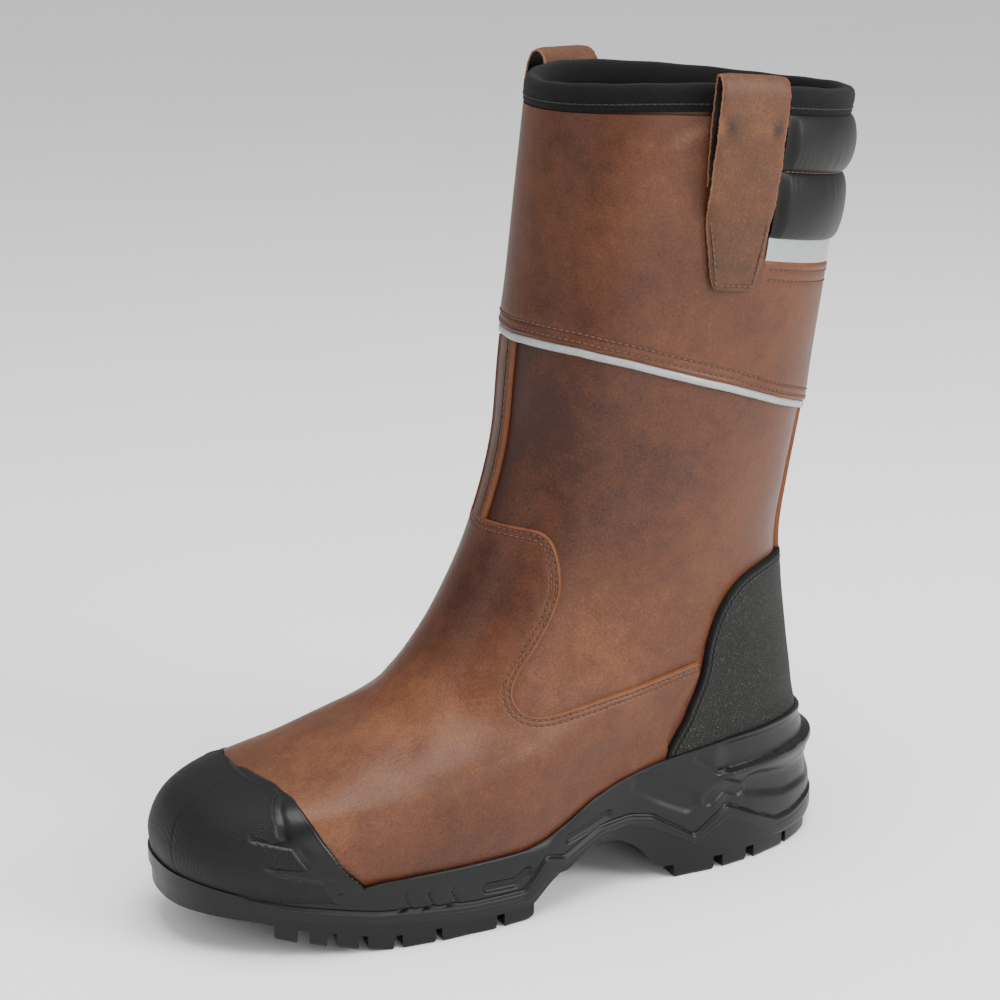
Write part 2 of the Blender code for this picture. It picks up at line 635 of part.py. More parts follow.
def build_padding():
    """The collar's padding: two rolls, one above the other, round the back."""
    share = np.array([0, 0.1, 0.3, 0.46, 0.58, 0.72, 0.9, 1])
    seam = (PAD_SEAM - PAD_BOTTOM) / (COLLAR_SEAM - PAD_BOTTOM)
    within = np.where(share < seam, share / seam, (share - seam) / (1 - seam))
    swell = COVER + ROLL * np.sqrt(np.clip(np.sin(np.pi * within), 0, 1))
    return back_band("collar_padding", PAD_BOTTOM, COLLAR_SEAM, 8, "textile", swell)


def build_binding():
    """The textile binding folded over the collar's edge."""
    u = round_stations()
    low = -0.0085
    folded = ((low, GAP), (low, COVER), (BINDING_RISE, COVER), (BINDING_RISE, -WALL - COVER),
              (low, -WALL - COVER), (low, -WALL - GAP), (GAP, -WALL - GAP), (GAP, GAP))
    rings = [over_collar(u, np.full(len(u), height), np.full(len(u), out))
             for height, out in folded]
    return tube("collar_binding", np.array(rings), "textile")


def build_loop(name, middle, bulge):
    """A leather pull loop outside the collar: a strap folded over and sewn on at both ends."""
    path = table(LOOP_COLUMNS, LOOP_ROWS)
    sewn = LOOP_ROWS[0][1]
    out = np.where(path["out"] > sewn, sewn + bulge * (path["out"] - sewn), path["out"])
    line = np.stack([out * LOOP_STANDOFF, path["height"] * LOOP_REACH], axis=-1)
    ahead = np.gradient(line, axis=0)
    ahead /= np.linalg.norm(ahead, axis=1)[:, None]
    away = np.stack([ahead[:, 1], -ahead[:, 0]], axis=-1) * LOOP_THICKNESS / 2
    edge = skin(np.array([middle - 0.01, middle + 0.01]), 1.0)
    chord = edge[1] - edge[0]
    across = np.linspace(1, -1, 5)[None, :] * path["half"][:, None] * LOOP_WIDTH / 2
    u = middle + across * 0.02 / np.linalg.norm(chord)
    free = np.clip((out - sewn) / FREE_FROM, 0, 1)[:, None, None]

    def face(points):
        """One face of the strap: curved where it is sewn on, flat across where it is free."""
        away_by = np.broadcast_to(points[:, :1], u.shape)
        height = np.broadcast_to(points[:, 1:], u.shape)
        curved = over_collar(u, height, away_by)
        flat = curved[:, 2:3] + across[..., None] * chord / np.linalg.norm(chord)
        return curved + free * (flat - curved)

    return sheet_solid(name, face(line + away), face(line - away), "leather")


def build_stays():
    """The strips over the shaft's front and back seams."""
    limits = {
        "front_stay": (FRONT_STAY, VAMP_TOP[-1][1] + 0.004, CUFF_BOTTOM[-1][1] - 0.0075),
        "back_stay": (BACK_STAY, COUNTER_EDGE[-1][1] + 0.003, CUFF_BOTTOM[0][1] - 0.0085),
    }
    for name, (sides, low, high) in limits.items():
        u = np.linspace(*sides[::-1], 5)
        edges = [np.stack([u, np.full(len(u), v)], axis=-1) for v in (low, high)]
        carve(shell(name, "dark leather"), region(f"{name}_region", *edges), "INTERSECT")


def main():
    """Clear the scene and build every piece."""
    for thing in list(bpy.data.objects):
        bpy.data.objects.remove(thing, do_unlink=True)
    wall = Wall()
    build_outsole(wall)
    build_midsole(wall)
    build_insole(wall)
    build_upper()
    build_vamp()
    build_toe_cap()
    build_counter()
    build_cuff()
    build_piping()
    build_stays()
    build_padding()
    back_band("reflective_strip", STRIP_BOTTOM, PAD_BOTTOM - 0.0008, 2, "reflective",
              (COVER, COVER))
    build_binding()
    build_loop("pull_loop_outer", LOOP_AT, LOOP_BULGES[0])
    build_loop("pull_loop_inner", INNER_LOOP_AT, LOOP_BULGES[1])


main()
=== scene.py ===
"""Rigger boot, left foot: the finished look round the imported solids.

Frame: +X toward the toe, +Y toward the outer side, +Z up, metres. The origin is on the floor in
the middle of the heel's tread. The upper is a function of two parameters: v runs from the feather
line (0) to the collar (1), u once round the leg from the back, by the outer side at 0.25, the
front at 0.5 and the inner side at 0.75.
"""

import logging
from dataclasses import dataclass, field
from enum import Enum

import bpy
import numpy as np
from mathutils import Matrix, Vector


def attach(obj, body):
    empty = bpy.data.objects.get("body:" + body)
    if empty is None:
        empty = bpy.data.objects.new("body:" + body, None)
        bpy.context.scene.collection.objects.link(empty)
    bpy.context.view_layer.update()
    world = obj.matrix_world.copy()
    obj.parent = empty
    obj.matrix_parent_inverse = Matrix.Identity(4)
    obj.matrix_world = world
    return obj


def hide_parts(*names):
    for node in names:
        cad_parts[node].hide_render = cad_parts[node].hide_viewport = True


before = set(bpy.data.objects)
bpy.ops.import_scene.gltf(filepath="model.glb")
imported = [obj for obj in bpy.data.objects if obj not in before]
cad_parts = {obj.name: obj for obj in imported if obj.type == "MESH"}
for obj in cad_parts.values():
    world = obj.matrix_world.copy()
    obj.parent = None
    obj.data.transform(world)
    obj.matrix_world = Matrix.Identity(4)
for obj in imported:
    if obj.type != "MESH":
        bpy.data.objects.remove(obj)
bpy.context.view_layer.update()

Array = np.ndarray
MM = 0.001
GAP = 0.3 * MM
COVER = 1.8 * MM
# Metres of the upper for a whole turn of u, and for the whole way of v, halfway up the leg
LEG_ROUND = 0.40
LEG_PER_V = 330 * MM
LOG = logging.getLogger("boot")


class Way(Enum):
    """How a material reads its pattern."""

    OBJECT = "Object"
    UV = "UV"


def linear(code: str) -> tuple[float, float, float, float]:
    """An sRGB hex value as linear RGBA.

    Args:
        code: six hex digits with a leading hash.
    Returns:
        Four floats, alpha 1.
    """
    parts = np.array([int(code[i:i + 2], 16) for i in (1, 3, 5)]) / 255
    low = parts / 12.92
    high = ((parts + 0.055) / 1.055) ** 2.4
    return (*np.where(parts <= 0.04045, low, high).tolist(), 1.0)


def per(size: float) -> float:
    """Texture scale for features of this many millimetres."""
    return 1000.0 / size


def smooth_step(value: Array, low: float, high: float) -> Array:
    """0 below low, 1 above high, and a cubic between them."""
    t = np.clip((np.asarray(value, float) - low) / (high - low), 0, 1)
    return t * t * (3 - 2 * t)


def bell(value: Array, width: float) -> Array:
    """1 at zero, falling off as a Gaussian of this width."""
    return np.exp(-(np.asarray(value, float) / width) ** 2)


def add(tree: bpy.types.NodeTree, kind: str, links: dict | None = None, **settings: object) -> bpy.types.Node:
    """Add one node.

    Args:
        tree: where it goes.
        kind: the node's type.
        links: input name or number to an output socket, or to a plain value.
        settings: the node's own properties.
    Returns:
        The node.
    """
    node = tree.nodes.new(kind)
    for name, value in settings.items():
        setattr(node, name, value)
    for name, value in (links or {}).items():
        if isinstance(value, bpy.types.NodeSocket):
            tree.links.new(value, node.inputs[name])
        else:
            node.inputs[name].default_value = value
    return node


def start(name: str, shader: dict) -> tuple[bpy.types.Material, bpy.types.NodeTree, bpy.types.Node]:
    """A material with an empty tree, its shader and its output.

    Args:
        name: the material's name.
        shader: constant values of the shader's sockets.
    Returns:
        The material, its tree and the shader node.
    """
    material = bpy.data.materials.new(name)
    material.use_nodes = True
    tree = material.node_tree
    tree.nodes.clear()
    principled = add(tree, "ShaderNodeBsdfPrincipled", shader)
    add(tree, "ShaderNodeOutputMaterial", {"Surface": principled.outputs[0]})
    return material, tree, principled


def wire(tree: bpy.types.NodeTree, shader: bpy.types.Node, sockets: dict) -> None:
    """Join each socket to the shader's input of that name."""
    for name, socket in sockets.items():
        tree.links.new(socket, shader.inputs[name])


def place(tree: bpy.types.NodeTree, way: Way) -> bpy.types.NodeSocket:
    """The coordinates that a pattern reads."""
    return add(tree, "ShaderNodeTexCoord").outputs[way.value]


def noise(tree: bpy.types.NodeTree, at: bpy.types.NodeSocket, size: float, detail: float = 3.0,
          rough: float = 0.55) -> bpy.types.NodeSocket:
    """Noise with features of this many millimetres.

    Args:
        tree: the material's tree.
        at: the coordinates.
        size: feature size, millimetres.
        detail: octaves.
        rough: share kept by each octave.
    Returns:
        The value socket.
    """
    links = {"Vector": at, "Scale": per(size), "Detail": detail, "Roughness": rough}
    return add(tree, "ShaderNodeTexNoise", links).outputs[0]


def cells(tree: bpy.types.NodeTree, at: bpy.types.NodeSocket, size: float,
          **more: float) -> bpy.types.NodeSocket:
    """Distance to the nearest of many scattered points, this many millimetres apart."""
    links = {"Vector": at, "Scale": per(size), **more}
    return add(tree, "ShaderNodeTexVoronoi", links).outputs[0]


def sums(tree: bpy.types.NodeTree, kind: str, *values: object) -> bpy.types.NodeSocket:
    """One arithmetic step on sockets or numbers."""
    return add(tree, "ShaderNodeMath", dict(enumerate(values)), operation=kind).outputs[0]


def ramp(tree: bpy.types.NodeTree, factor: bpy.types.NodeSocket, stops: tuple) -> bpy.types.NodeSocket:
    """A colour ramp.

    Args:
        tree: the material's tree.
        factor: the value that picks the colour.
        stops: pairs of place and hex value, in order.
    Returns:
        The colour socket.
    """
    node = add(tree, "ShaderNodeValToRGB", {0: factor})
    line = node.color_ramp.elements
    for _ in range(len(stops) - 2):
        line.new(0.5)
    for element, (at, code) in zip(line, stops):
        element.position = at
        element.color = linear(code)
    return node.outputs[0]


def blend(tree: bpy.types.NodeTree, factor: object, one: object, two: object) -> bpy.types.NodeSocket:
    """A mix of two colours."""
    links = {0: factor, 6: one, 7: two}
    return add(tree, "ShaderNodeMix", links, data_type="RGBA").outputs[2]


def attribute(tree: bpy.types.NodeTree, name: str) -> bpy.types.NodeSocket:
    """A value that the mesh carries at its points."""
    return add(tree, "ShaderNodeAttribute", attribute_name=name).outputs["Fac"]


def bump(tree: bpy.types.NodeTree, height: bpy.types.NodeSocket, depth: float,
         under: bpy.types.NodeSocket | None = None, strength: float = 1.0) -> bpy.types.NodeSocket:
    """A bump on top of another one.

    Args:
        tree: the material's tree.
        height: the pattern.
        depth: its full height, millimetres.
        under: the normal that it lies on.
        strength: share of the bump.
    Returns:
        The normal socket.
    """
    links = {"Height": height, "Distance": depth * MM, "Strength": strength}
    if under is not None:
        links["Normal"] = under
    return add(tree, "ShaderNodeBump", links).outputs[0]


def weave(tree: bpy.types.NodeTree, pitch: float) -> bpy.types.NodeSocket:
    """Height of a plain weave: threads rise as half sines and swap at each crossing.

    Args:
        tree: the material's tree.
        pitch: thread spacing, millimetres.
    Returns:
        The height socket, 0 to 1.
    """
    scale = (np.pi * per(pitch),) * 3
    scaled = add(tree, "ShaderNodeMapping", {"Vector": place(tree, Way.UV), "Scale": scale})
    split = add(tree, "ShaderNodeSeparateXYZ", {0: scaled.outputs[0]})
    across, along = (sums(tree, "SINE", split.outputs[i]) for i in (0, 1))
    swap = sums(tree, "GREATER_THAN", sums(tree, "MULTIPLY", across, along), 0.0)
    one, two = sums(tree, "ABSOLUTE", across), sums(tree, "ABSOLUTE", along)
    first = sums(tree, "MULTIPLY", one, swap)
    second = sums(tree, "MULTIPLY", two, sums(tree, "SUBTRACT", 1.0, swap))
    return sums(tree, "ADD", first, second)


@dataclass(frozen=True)
class OiledLeather:
    """Full-grain cowhide with a waxed pull-up finish.

    The wax moves where the hide is bent or rubbed, so the colour clouds from chocolate to
    orange brown, lightest at raw edges and scratches, with a low and patchy gloss.
    """

    name: str = "waxed pull-up leather"
    dark: str = "#2e1005"
    middle: str = "#512b14"
    light: str = "#754829"
    edge: str = "#7b4722"
    scratch: str = "#96705a"
    roughness: float = 0.48
    cloud_size: float = 34
    mottle_size: float = 7
    speck_size: float = 0.9
    pore_size: float = 0.8
    crease_size: float = 2.6
    wave_size: float = 16

    def build(self) -> bpy.types.Material:
        """Clouds, mottling and pores, with rim, tone and scuff from the mesh.

        Returns:
            The material.
        """
        material, tree, shader = start(self.name, {
            "IOR": 1.5, "Coat Weight": 0.06, "Coat Roughness": 0.35, "Specular IOR Level": 0.30})
        at = place(tree, Way.OBJECT)
        clouds, mottle = noise(tree, at, self.cloud_size, 4), noise(tree, at, self.mottle_size, 4)
        speck = noise(tree, at, self.speck_size, 2)
        tone = attribute(tree, "tone")
        value = sums(tree, "MULTIPLY_ADD", clouds, 0.46, tone)
        value = sums(tree, "MULTIPLY_ADD", mottle, 0.34, value)
        value = sums(tree, "MULTIPLY_ADD", speck, 0.52, value)
        value = sums(tree, "SUBTRACT", value, 0.72)
        colour = ramp(tree, value, ((0.12, self.dark), (0.5, self.middle), (0.9, self.light)))
        worn = attribute(tree, "rim")
        worn = sums(tree, "MULTIPLY", worn, sums(tree, "MULTIPLY_ADD", mottle, 0.9, 0.35))
        worn = add(tree, "ShaderNodeClamp", {0: worn}).outputs[0]
        colour = blend(tree, worn, colour, linear(self.edge))
        rubbed = sums(tree, "MULTIPLY_ADD", speck, 1.6, -0.1)
        rubbed = sums(tree, "MULTIPLY", attribute(tree, "scuff"), rubbed)
        rubbed = add(tree, "ShaderNodeClamp", {0: rubbed}).outputs[0]
        colour = blend(tree, rubbed, colour, linear(self.scratch))
        rough = sums(tree, "MULTIPLY_ADD", mottle, 0.22, self.roughness - 0.11)
        rough = sums(tree, "MULTIPLY_ADD", worn, 0.18, rough)
        pores = cells(tree, at, self.pore_size)
        normal = bump(tree, pores, 0.06, None, 0.7)
        normal = bump(tree, noise(tree, at, self.crease_size, 3), 0.16, normal, 0.6)
        normal = bump(tree, noise(tree, at, self.wave_size, 2), 0.7, normal, 0.5)
        wire(tree, shader, {"Base Color": colour, "Roughness": rough, "Normal": normal})
        return material


@dataclass(frozen=True)
class Thread:
    """Bonded polyester sewing thread: a tight twist with a dull sheen, and painted shade where it dips into
    the leather.
    """

    name: str
    colour: str
    # painted shade: the near-black colour of the needle punctures and of the stitch ends that dip into them
    hole_shade: str = "#120906"
    twist_size: float = 0.4

    def build(self) -> bpy.types.Material:
        """Twist lines along the stitch, and painted shade at its ends and at the needle punctures.

        Returns:
            The material.
        """
        material, tree, shader = start(self.name, {"Roughness": 0.55})
        twist = noise(tree, place(tree, Way.OBJECT), self.twist_size, 1)
        shade = sums(tree, "MULTIPLY", twist, 0.6)
        lit = blend(tree, shade, linear(self.colour), linear(self.hole_shade))
        # painted shade: the mesh's value darkens the stitch ends and the puncture domes toward this colour
        colour = blend(tree, attribute(tree, "hole_shade"), lit, linear(self.hole_shade))
        wire(tree, shader, {"Base Color": colour, "Normal": bump(tree, twist, 0.08)})
        return material


@dataclass(frozen=True)
class Moulding:
    """Polyurethane or rubber from a satin-etched mould: even colour, soft broad gloss."""

    name: str
    colour: str
    dusty: str
    roughness: float
    grain: float = 0.5
    dust_size: float = 22
    print_size: float = 0.85

    def build(self) -> bpy.types.Material:
        """A fine etched grain, faint dust, and a cloth print where the mesh asks.

        Returns:
            The material.
        """
        material, tree, shader = start(self.name, {"IOR": 1.5, "Specular IOR Level": 0.27})
        at = place(tree, Way.OBJECT)
        dust = noise(tree, at, self.dust_size, 5, 0.65)
        fine = noise(tree, at, self.grain, 2)
        factor = sums(tree, "MULTIPLY", dust, sums(tree, "MULTIPLY_ADD", fine, 0.7, 0.2))
        printed = attribute(tree, "print")
        dots = cells(tree, at, self.print_size, Randomness=0.25)
        threads = sums(tree, "MULTIPLY", sums(tree, "SUBTRACT", 1.0, dots), printed)
        factor = sums(tree, "ADD", factor, sums(tree, "MULTIPLY", threads, 0.22))
        colour = ramp(tree, factor, ((0.1, self.colour), (1.0, self.dusty)))
        rough = sums(tree, "MULTIPLY_ADD", dust, 0.16, self.roughness - 0.08)
        rough = sums(tree, "MULTIPLY_ADD", printed, 0.26, rough)
        normal = bump(tree, fine, 0.03, None, 0.6)
        normal = bump(tree, threads, 0.30, normal)
        wire(tree, shader, {"Base Color": colour, "Roughness": rough, "Normal": normal})
        return material


@dataclass(frozen=True)
class Cloth:
    """Woven or coated synthetic cloth: threads of a real spacing over an even, dull ground."""

    name: str
    colour: str
    light: str
    pitch: float
    depth: float
    roughness: float = 0.8
    flecks: float = 0.0
    sheen: float = 0.0
    threads: float = 0.35
    cloud_size: float = 18
    fleck_size: float = 0.6
    fuzz_size: float = 0.5

    def build(self) -> bpy.types.Material:
        """A plain weave, and where asked light flecks of abraded thread.

        Returns:
            The material.
        """
        material, tree, shader = start(self.name, {
            "Sheen Weight": self.sheen, "Sheen Roughness": 0.4, "Specular IOR Level": 0.22})
        at = place(tree, Way.OBJECT)
        cloth = weave(tree, self.pitch)
        cloud = noise(tree, at, self.cloud_size, 3)
        fleck = sums(tree, "GREATER_THAN", noise(tree, at, self.fleck_size, 2, 0.8), 0.645)
        fleck = sums(tree, "MULTIPLY", fleck, self.flecks)
        factor = sums(tree, "MULTIPLY", cloud, self.threads)
        factor = sums(tree, "MULTIPLY_ADD", cloth, self.threads, factor)
        factor = sums(tree, "ADD", factor, fleck)
        dim = sums(tree, "SUBTRACT", 1.0, attribute(tree, "rim"))
        factor = sums(tree, "MULTIPLY", factor, dim)
        colour = ramp(tree, factor, ((0.0, self.colour), (1.0, self.light)))
        rough = sums(tree, "MULTIPLY_ADD", cloud, 0.1, self.roughness - 0.05)
        normal = bump(tree, cloth, self.depth)
        normal = bump(tree, noise(tree, at, self.fuzz_size, 2), 0.05, normal, 0.6)
        wire(tree, shader, {"Base Color": colour, "Roughness": rough, "Normal": normal})
        return material


@dataclass(frozen=True)
class Fleece:
    """Knitted pile: short fibres that scatter light, so it stays dark and soft."""

    name: str = "black pile lining"
    colour: str = "#040404"
    tips: str = "#161617"
    clump_size: float = 2.2

    def build(self) -> bpy.types.Material:
        """Clumps of fibre as bump and as lighter tips.

        Returns:
            The material.
        """
        material, tree, shader = start(self.name, {
            "Roughness": 0.95, "Sheen Weight": 0.12, "Sheen Roughness": 0.6, "Specular IOR Level": 0.1})
        clump = noise(tree, place(tree, Way.OBJECT), self.clump_size, 4, 0.7)
        colour = ramp(tree, clump, ((0.35, self.colour), (0.75, self.tips)))
        wire(tree, shader, {"Base Color": colour, "Normal": bump(tree, clump, 1.1)})
        return material


@dataclass(frozen=True)
class BeadedTape:
    """Glass-bead reflective tape: pale grey and even, with a faint honeycomb."""

    name: str = "glass-bead reflective tape"
    colour: str = "#7f8282"
    light: str = "#9c9f9f"
    bead_size: float = 0.9
    cloud_size: float = 8

    def build(self) -> bpy.types.Material:
        """Bead cells as a fine pattern with a low metallic share.

        Returns:
            The material.
        """
        material, tree, shader = start(self.name, {"Metallic": 0.15, "Roughness": 0.42})
        at = place(tree, Way.OBJECT)
        beads = cells(tree, at, self.bead_size)
        half = sums(tree, "MULTIPLY", beads, 0.5)
        factor = sums(tree, "MULTIPLY_ADD", noise(tree, at, self.cloud_size), 0.5, half)
        colour = ramp(tree, factor, ((0.1, self.colour), (0.7, self.light)))
        wire(tree, shader, {"Base Color": colour, "Normal": bump(tree, beads, 0.04)})
        return material


@dataclass(frozen=True)
class Fold:
    """A soft trough in the leather along a line of chart points; a negative depth is a ridge.

    Width and depth are millimetres.
    """

    path: tuple[tuple[float, float], ...]
    width: float
    depth: float


FOLDS = (
    Fold(((0.365, 0.300), (0.400, 0.345), (0.450, 0.372), (0.500, 0.370), (0.550, 0.345)), 6.0, 1.45),
    Fold(((0.355, 0.262), (0.400, 0.300), (0.455, 0.322), (0.505, 0.318)), 6.0, -1.00),
    Fold(((0.385, 0.395), (0.420, 0.430), (0.460, 0.452), (0.500, 0.455), (0.560, 0.430)), 7.0, 1.25),
    Fold(((0.420, 0.290), (0.450, 0.305), (0.470, 0.330)), 4.5, 0.55),
    Fold(((0.300, 0.300), (0.325, 0.250), (0.335, 0.190)), 9.0, 0.80),
    Fold(((0.230, 0.330), (0.270, 0.280), (0.300, 0.225)), 11.0, -0.70),
    Fold(((0.620, 0.330), (0.590, 0.370), (0.545, 0.392)), 7.0, 0.85),
    Fold(((0.700, 0.300), (0.672, 0.245), (0.660, 0.190)), 9.0, 0.80),
    Fold(((0.250, 0.480), (0.300, 0.520), (0.345, 0.545)), 10.0, 0.90),
    Fold(((0.210, 0.560), (0.260, 0.585), (0.310, 0.600)), 12.0, -0.80),
    Fold(((0.750, 0.470), (0.700, 0.520), (0.650, 0.545)), 10.0, 0.95),
    Fold(((0.790, 0.560), (0.740, 0.590), (0.690, 0.600)), 12.0, -0.80),
    Fold(((0.360, 0.700), (0.350, 0.760), (0.345, 0.810)), 14.0, 0.90),
    Fold(((0.170, 0.660), (0.180, 0.720), (0.200, 0.790)), 14.0, 0.70),
    Fold(((0.300, 0.640), (0.290, 0.720), (0.280, 0.800)), 13.0, -0.80),
    Fold(((0.640, 0.690), (0.655, 0.750), (0.660, 0.810)), 14.0, 0.90),
    Fold(((0.330, 0.870), (0.325, 0.920), (0.335, 0.965)), 15.0, 0.80),
)


@dataclass(frozen=True)
class Form:
    """The outside of the upper as one function of two parameters.

    Each level v has a back point, a front point and two half widths; between back and front the
    section is a superellipse. Rows hold shares of the length, height and width.
    """

    length: float = 0.302
    height: float = 0.331
    width: float = 0.104
    heel_centre: float = 0.042
    toe_swing: float = 0.008
    waist_at: float = 0.36
    waist_spread: float = 0.15
    columns: tuple[str, ...] = ("front_x", "front_z", "back_x", "back_z", "left", "right",
                                "widest", "front_power", "back_power", "waist", "dip")
    rows: tuple[tuple[float, ...], ...] = (
        (0.967, 0.073, 0.036, 0.121, 0.471, 0.462, 0.64, 2.45, 2.50, 0.20, 0.030),
        (0.980, 0.127, 0.036, 0.169, 0.510, 0.490, 0.63, 2.50, 2.50, 0.17, 0.024),
        (0.947, 0.170, 0.040, 0.199, 0.500, 0.481, 0.62, 2.50, 2.40, 0.15, 0.015),
        (0.841, 0.196, 0.046, 0.233, 0.481, 0.462, 0.62, 2.20, 2.40, 0.11, 0.006),
        (0.695, 0.242, 0.051, 0.269, 0.442, 0.433, 0.60, 2.10, 2.30, 0.06, 0.000),
        (0.616, 0.310, 0.056, 0.308, 0.413, 0.413, 0.56, 2.10, 2.20, 0.02, 0.000),
        (0.560, 0.387, 0.065, 0.356, 0.413, 0.413, 0.54, 2.10, 2.20, 0.00, 0.000),
        (0.520, 0.465, 0.070, 0.417, 0.423, 0.423, 0.52, 2.10, 2.10, 0.00, 0.000),
        (0.488, 0.562, 0.060, 0.492, 0.442, 0.442, 0.51, 2.10, 2.10, 0.00, 0.000),
        (0.474, 0.671, 0.041, 0.595, 0.471, 0.471, 0.50, 2.10, 2.10, 0.00, 0.000),
        (0.455, 0.822, 0.015, 0.752, 0.490, 0.490, 0.50, 2.10, 2.10, 0.00, 0.000),
        (0.430, 1.000, -0.020, 0.979, 0.510, 0.510, 0.50, 2.10, 2.10, 0.00, -0.012),
    )

    def level(self, v: Array) -> dict[str, Array]:
        """Every column at v: a cubic through evenly spaced rows.

        Args:
            v: share of the way up.
        Returns:
            Values by the column's name.
        """
        last = len(self.rows) - 1
        place_in = np.clip(v, 0, 1) * last
        begin = np.minimum(place_in.astype(int), last - 1)
        t = place_in - begin
        found = {}
        for name, values in zip(self.columns, np.array(self.rows).T):
            slope = np.gradient(values)
            rise = values[begin + 1] - values[begin]
            one, two = slope[begin], slope[begin + 1]
            found[name] = (values[begin] + t * one + t**2 * (3 * rise - 2 * one - two)
                           + t**3 * (one + two - 2 * rise))
        return found

    def skin(self, u: Array, v: Array) -> Array:
        """Points of the surface: the level's superellipse, turned in at the toe.

        Args:
            u: turn round the leg.
            v: share of the way up.
        Returns:
            Points, last axis x, y, z.
        """
        u, v = np.broadcast_arrays(np.asarray(u, float), np.asarray(v, float))
        row = self.level(v)
        across, along = np.sin(2 * np.pi * u), np.cos(2 * np.pi * u)
        power = np.where(along < 0, row["front_power"], row["back_power"])
        reach = np.abs(along) ** (2 / power)
        share = np.where(along < 0, row["widest"] + (1 - row["widest"]) * reach,
                         row["widest"] * (1 - reach))
        half = np.where(across >= 0, row["left"], row["right"]) * self.width
        half = half * (1 - row["waist"] * np.exp(-((share - self.waist_at) / self.waist_spread) ** 2))
        y = np.sign(across) * np.abs(across) ** (2 / power) * half
        swing = np.clip((share - 0.45) / 0.55, 0, 1) ** 2 * np.clip(1 - 2.2 * v, 0, 1)
        x = (row["back_x"] + (row["front_x"] - row["back_x"]) * share) * self.length - self.heel_centre
        z = (row["back_z"] + (row["front_z"] - row["back_z"]) * share
             - row["dip"] * np.sin(np.pi * share**1.6)) * self.height
        return np.stack([x, y - self.toe_swing * swing, z], axis=-1)

    def tangents(self, u: Array, v: Array) -> tuple[Array, Array]:
        """Derivatives of the surface, as differences over a small step.

        Args:
            u: turn round the leg.
            v: share of the way up.
        Returns:
            The derivative along u and the one along v.
        """
        step = 1e-3
        round_it = (self.skin(u + step, v) - self.skin(u - step, v)) / (2 * step)
        high, low = np.minimum(v + step, 1), np.maximum(v - step, 0)
        up_it = (self.skin(u, high) - self.skin(u, low)) / (high - low)[..., None]
        return round_it, up_it

    def normal(self, u: Array, v: Array) -> Array:
        """Unit normals, outward: the cross product of the two derivatives.

        Args:
            u: turn round the leg.
            v: share of the way up.
        Returns:
            Directions, last axis x, y, z.
        """
        u, v = np.broadcast_arrays(np.asarray(u, float), np.asarray(v, float))
        round_it, up_it = self.tangents(u, v)
        across = np.cross(up_it, round_it)
        return across / np.linalg.norm(across, axis=-1, keepdims=True)

    def slack(self, points: Array) -> Array:
        """How far the folds move these points in: a Gaussian of the distance to each fold.

        Args:
            points: on the surface, last axis x, y, z.
        Returns:
            Metres at each point.
        """
        flat = points.reshape(-1, 3)
        total = np.zeros(len(flat))
        for fold in FOLDS:
            corners = np.array(fold.path)
            at = np.linspace(0, len(corners) - 1, 28)
            line = self.skin(*sample(corners, np.arange(len(corners)), at).T)
            fade = np.sin(np.pi * np.linspace(0.08, 0.92, 28)) ** 0.7
            apart = np.linalg.norm(flat[:, None] - line[None], axis=-1)
            total += fold.depth * MM * (bell(apart, fold.width * MM) * fade).max(axis=1)
        return total.reshape(points.shape[:-1])

    def surface(self, u: Array, v: Array, out: Array | float = 0.0) -> Array:
        """The surface with its folds, moved out along its normal.

        Args:
            u: turn round the leg.
            v: share of the way up.
            out: metres over the form.
        Returns:
            Points, last axis x, y, z.
        """
        base = self.skin(u, v)
        lift = np.asarray(out, float) - self.slack(base)
        return base + self.normal(u, v) * lift[..., None]

    def over_collar(self, u: Array, height: Array | float, out: Array | float) -> Array:
        """Points by their height over the collar's edge, also above the leather.

        Args:
            u: turn round the leg.
            height: metres over the edge, negative below it.
            out: metres over the form.
        Returns:
            Points, last axis x, y, z.
        """
        per_metre = 0.1 / np.linalg.norm(self.skin(u, 1.0) - self.skin(u, 0.9), axis=-1)
        points = self.surface(u, 1 + np.minimum(height, 0) * per_metre, out)
        points[..., 2] += np.maximum(height, 0)
        return points

    def inset(self, edge: Array, distances: Array) -> Array:
        """Parallels of an edge on the chart, to the left of its way.

        Args:
            edge: chart points.
            distances: metres from the edge, one for each parallel.
        Returns:
            Chart points, parallels by points by 2.
        """
        u, v = edge.T
        round_it, up_it = self.tangents(u, v)
        ahead = np.gradient(edge, axis=0)
        along = round_it * ahead[:, :1] + up_it * ahead[:, 1:]
        along /= np.linalg.norm(along, axis=1)[:, None]
        side = np.cross(self.normal(u, v), along)
        a, b, c = ((p * q).sum(1) for p, q in ((round_it, round_it), (round_it, up_it), (up_it, up_it)))
        p, q = (side * round_it).sum(1), (side * up_it).sum(1)
        step = np.stack([c * p - b * q, a * q - b * p], axis=-1) / (a * c - b * b)[:, None]
        return edge + np.asarray(distances)[:, None, None] * step


FORM = Form()


def run_along(line: Array) -> Array:
    """Length from the start of a polyline to each of its points."""
    return np.concatenate([[0], np.cumsum(np.linalg.norm(np.diff(line, axis=0), axis=1))])


def sample(data: Array, run: Array, where: Array) -> Array:
    """Values of every column of the data at these lengths."""
    return np.stack([np.interp(where, run, column) for column in data.T], axis=-1)


def chart_grid(u: Array, v: Array) -> Array:
    """A grid of chart points, its rows by v and its columns by u."""
    return np.stack(np.broadcast_arrays(u, v), axis=-1)


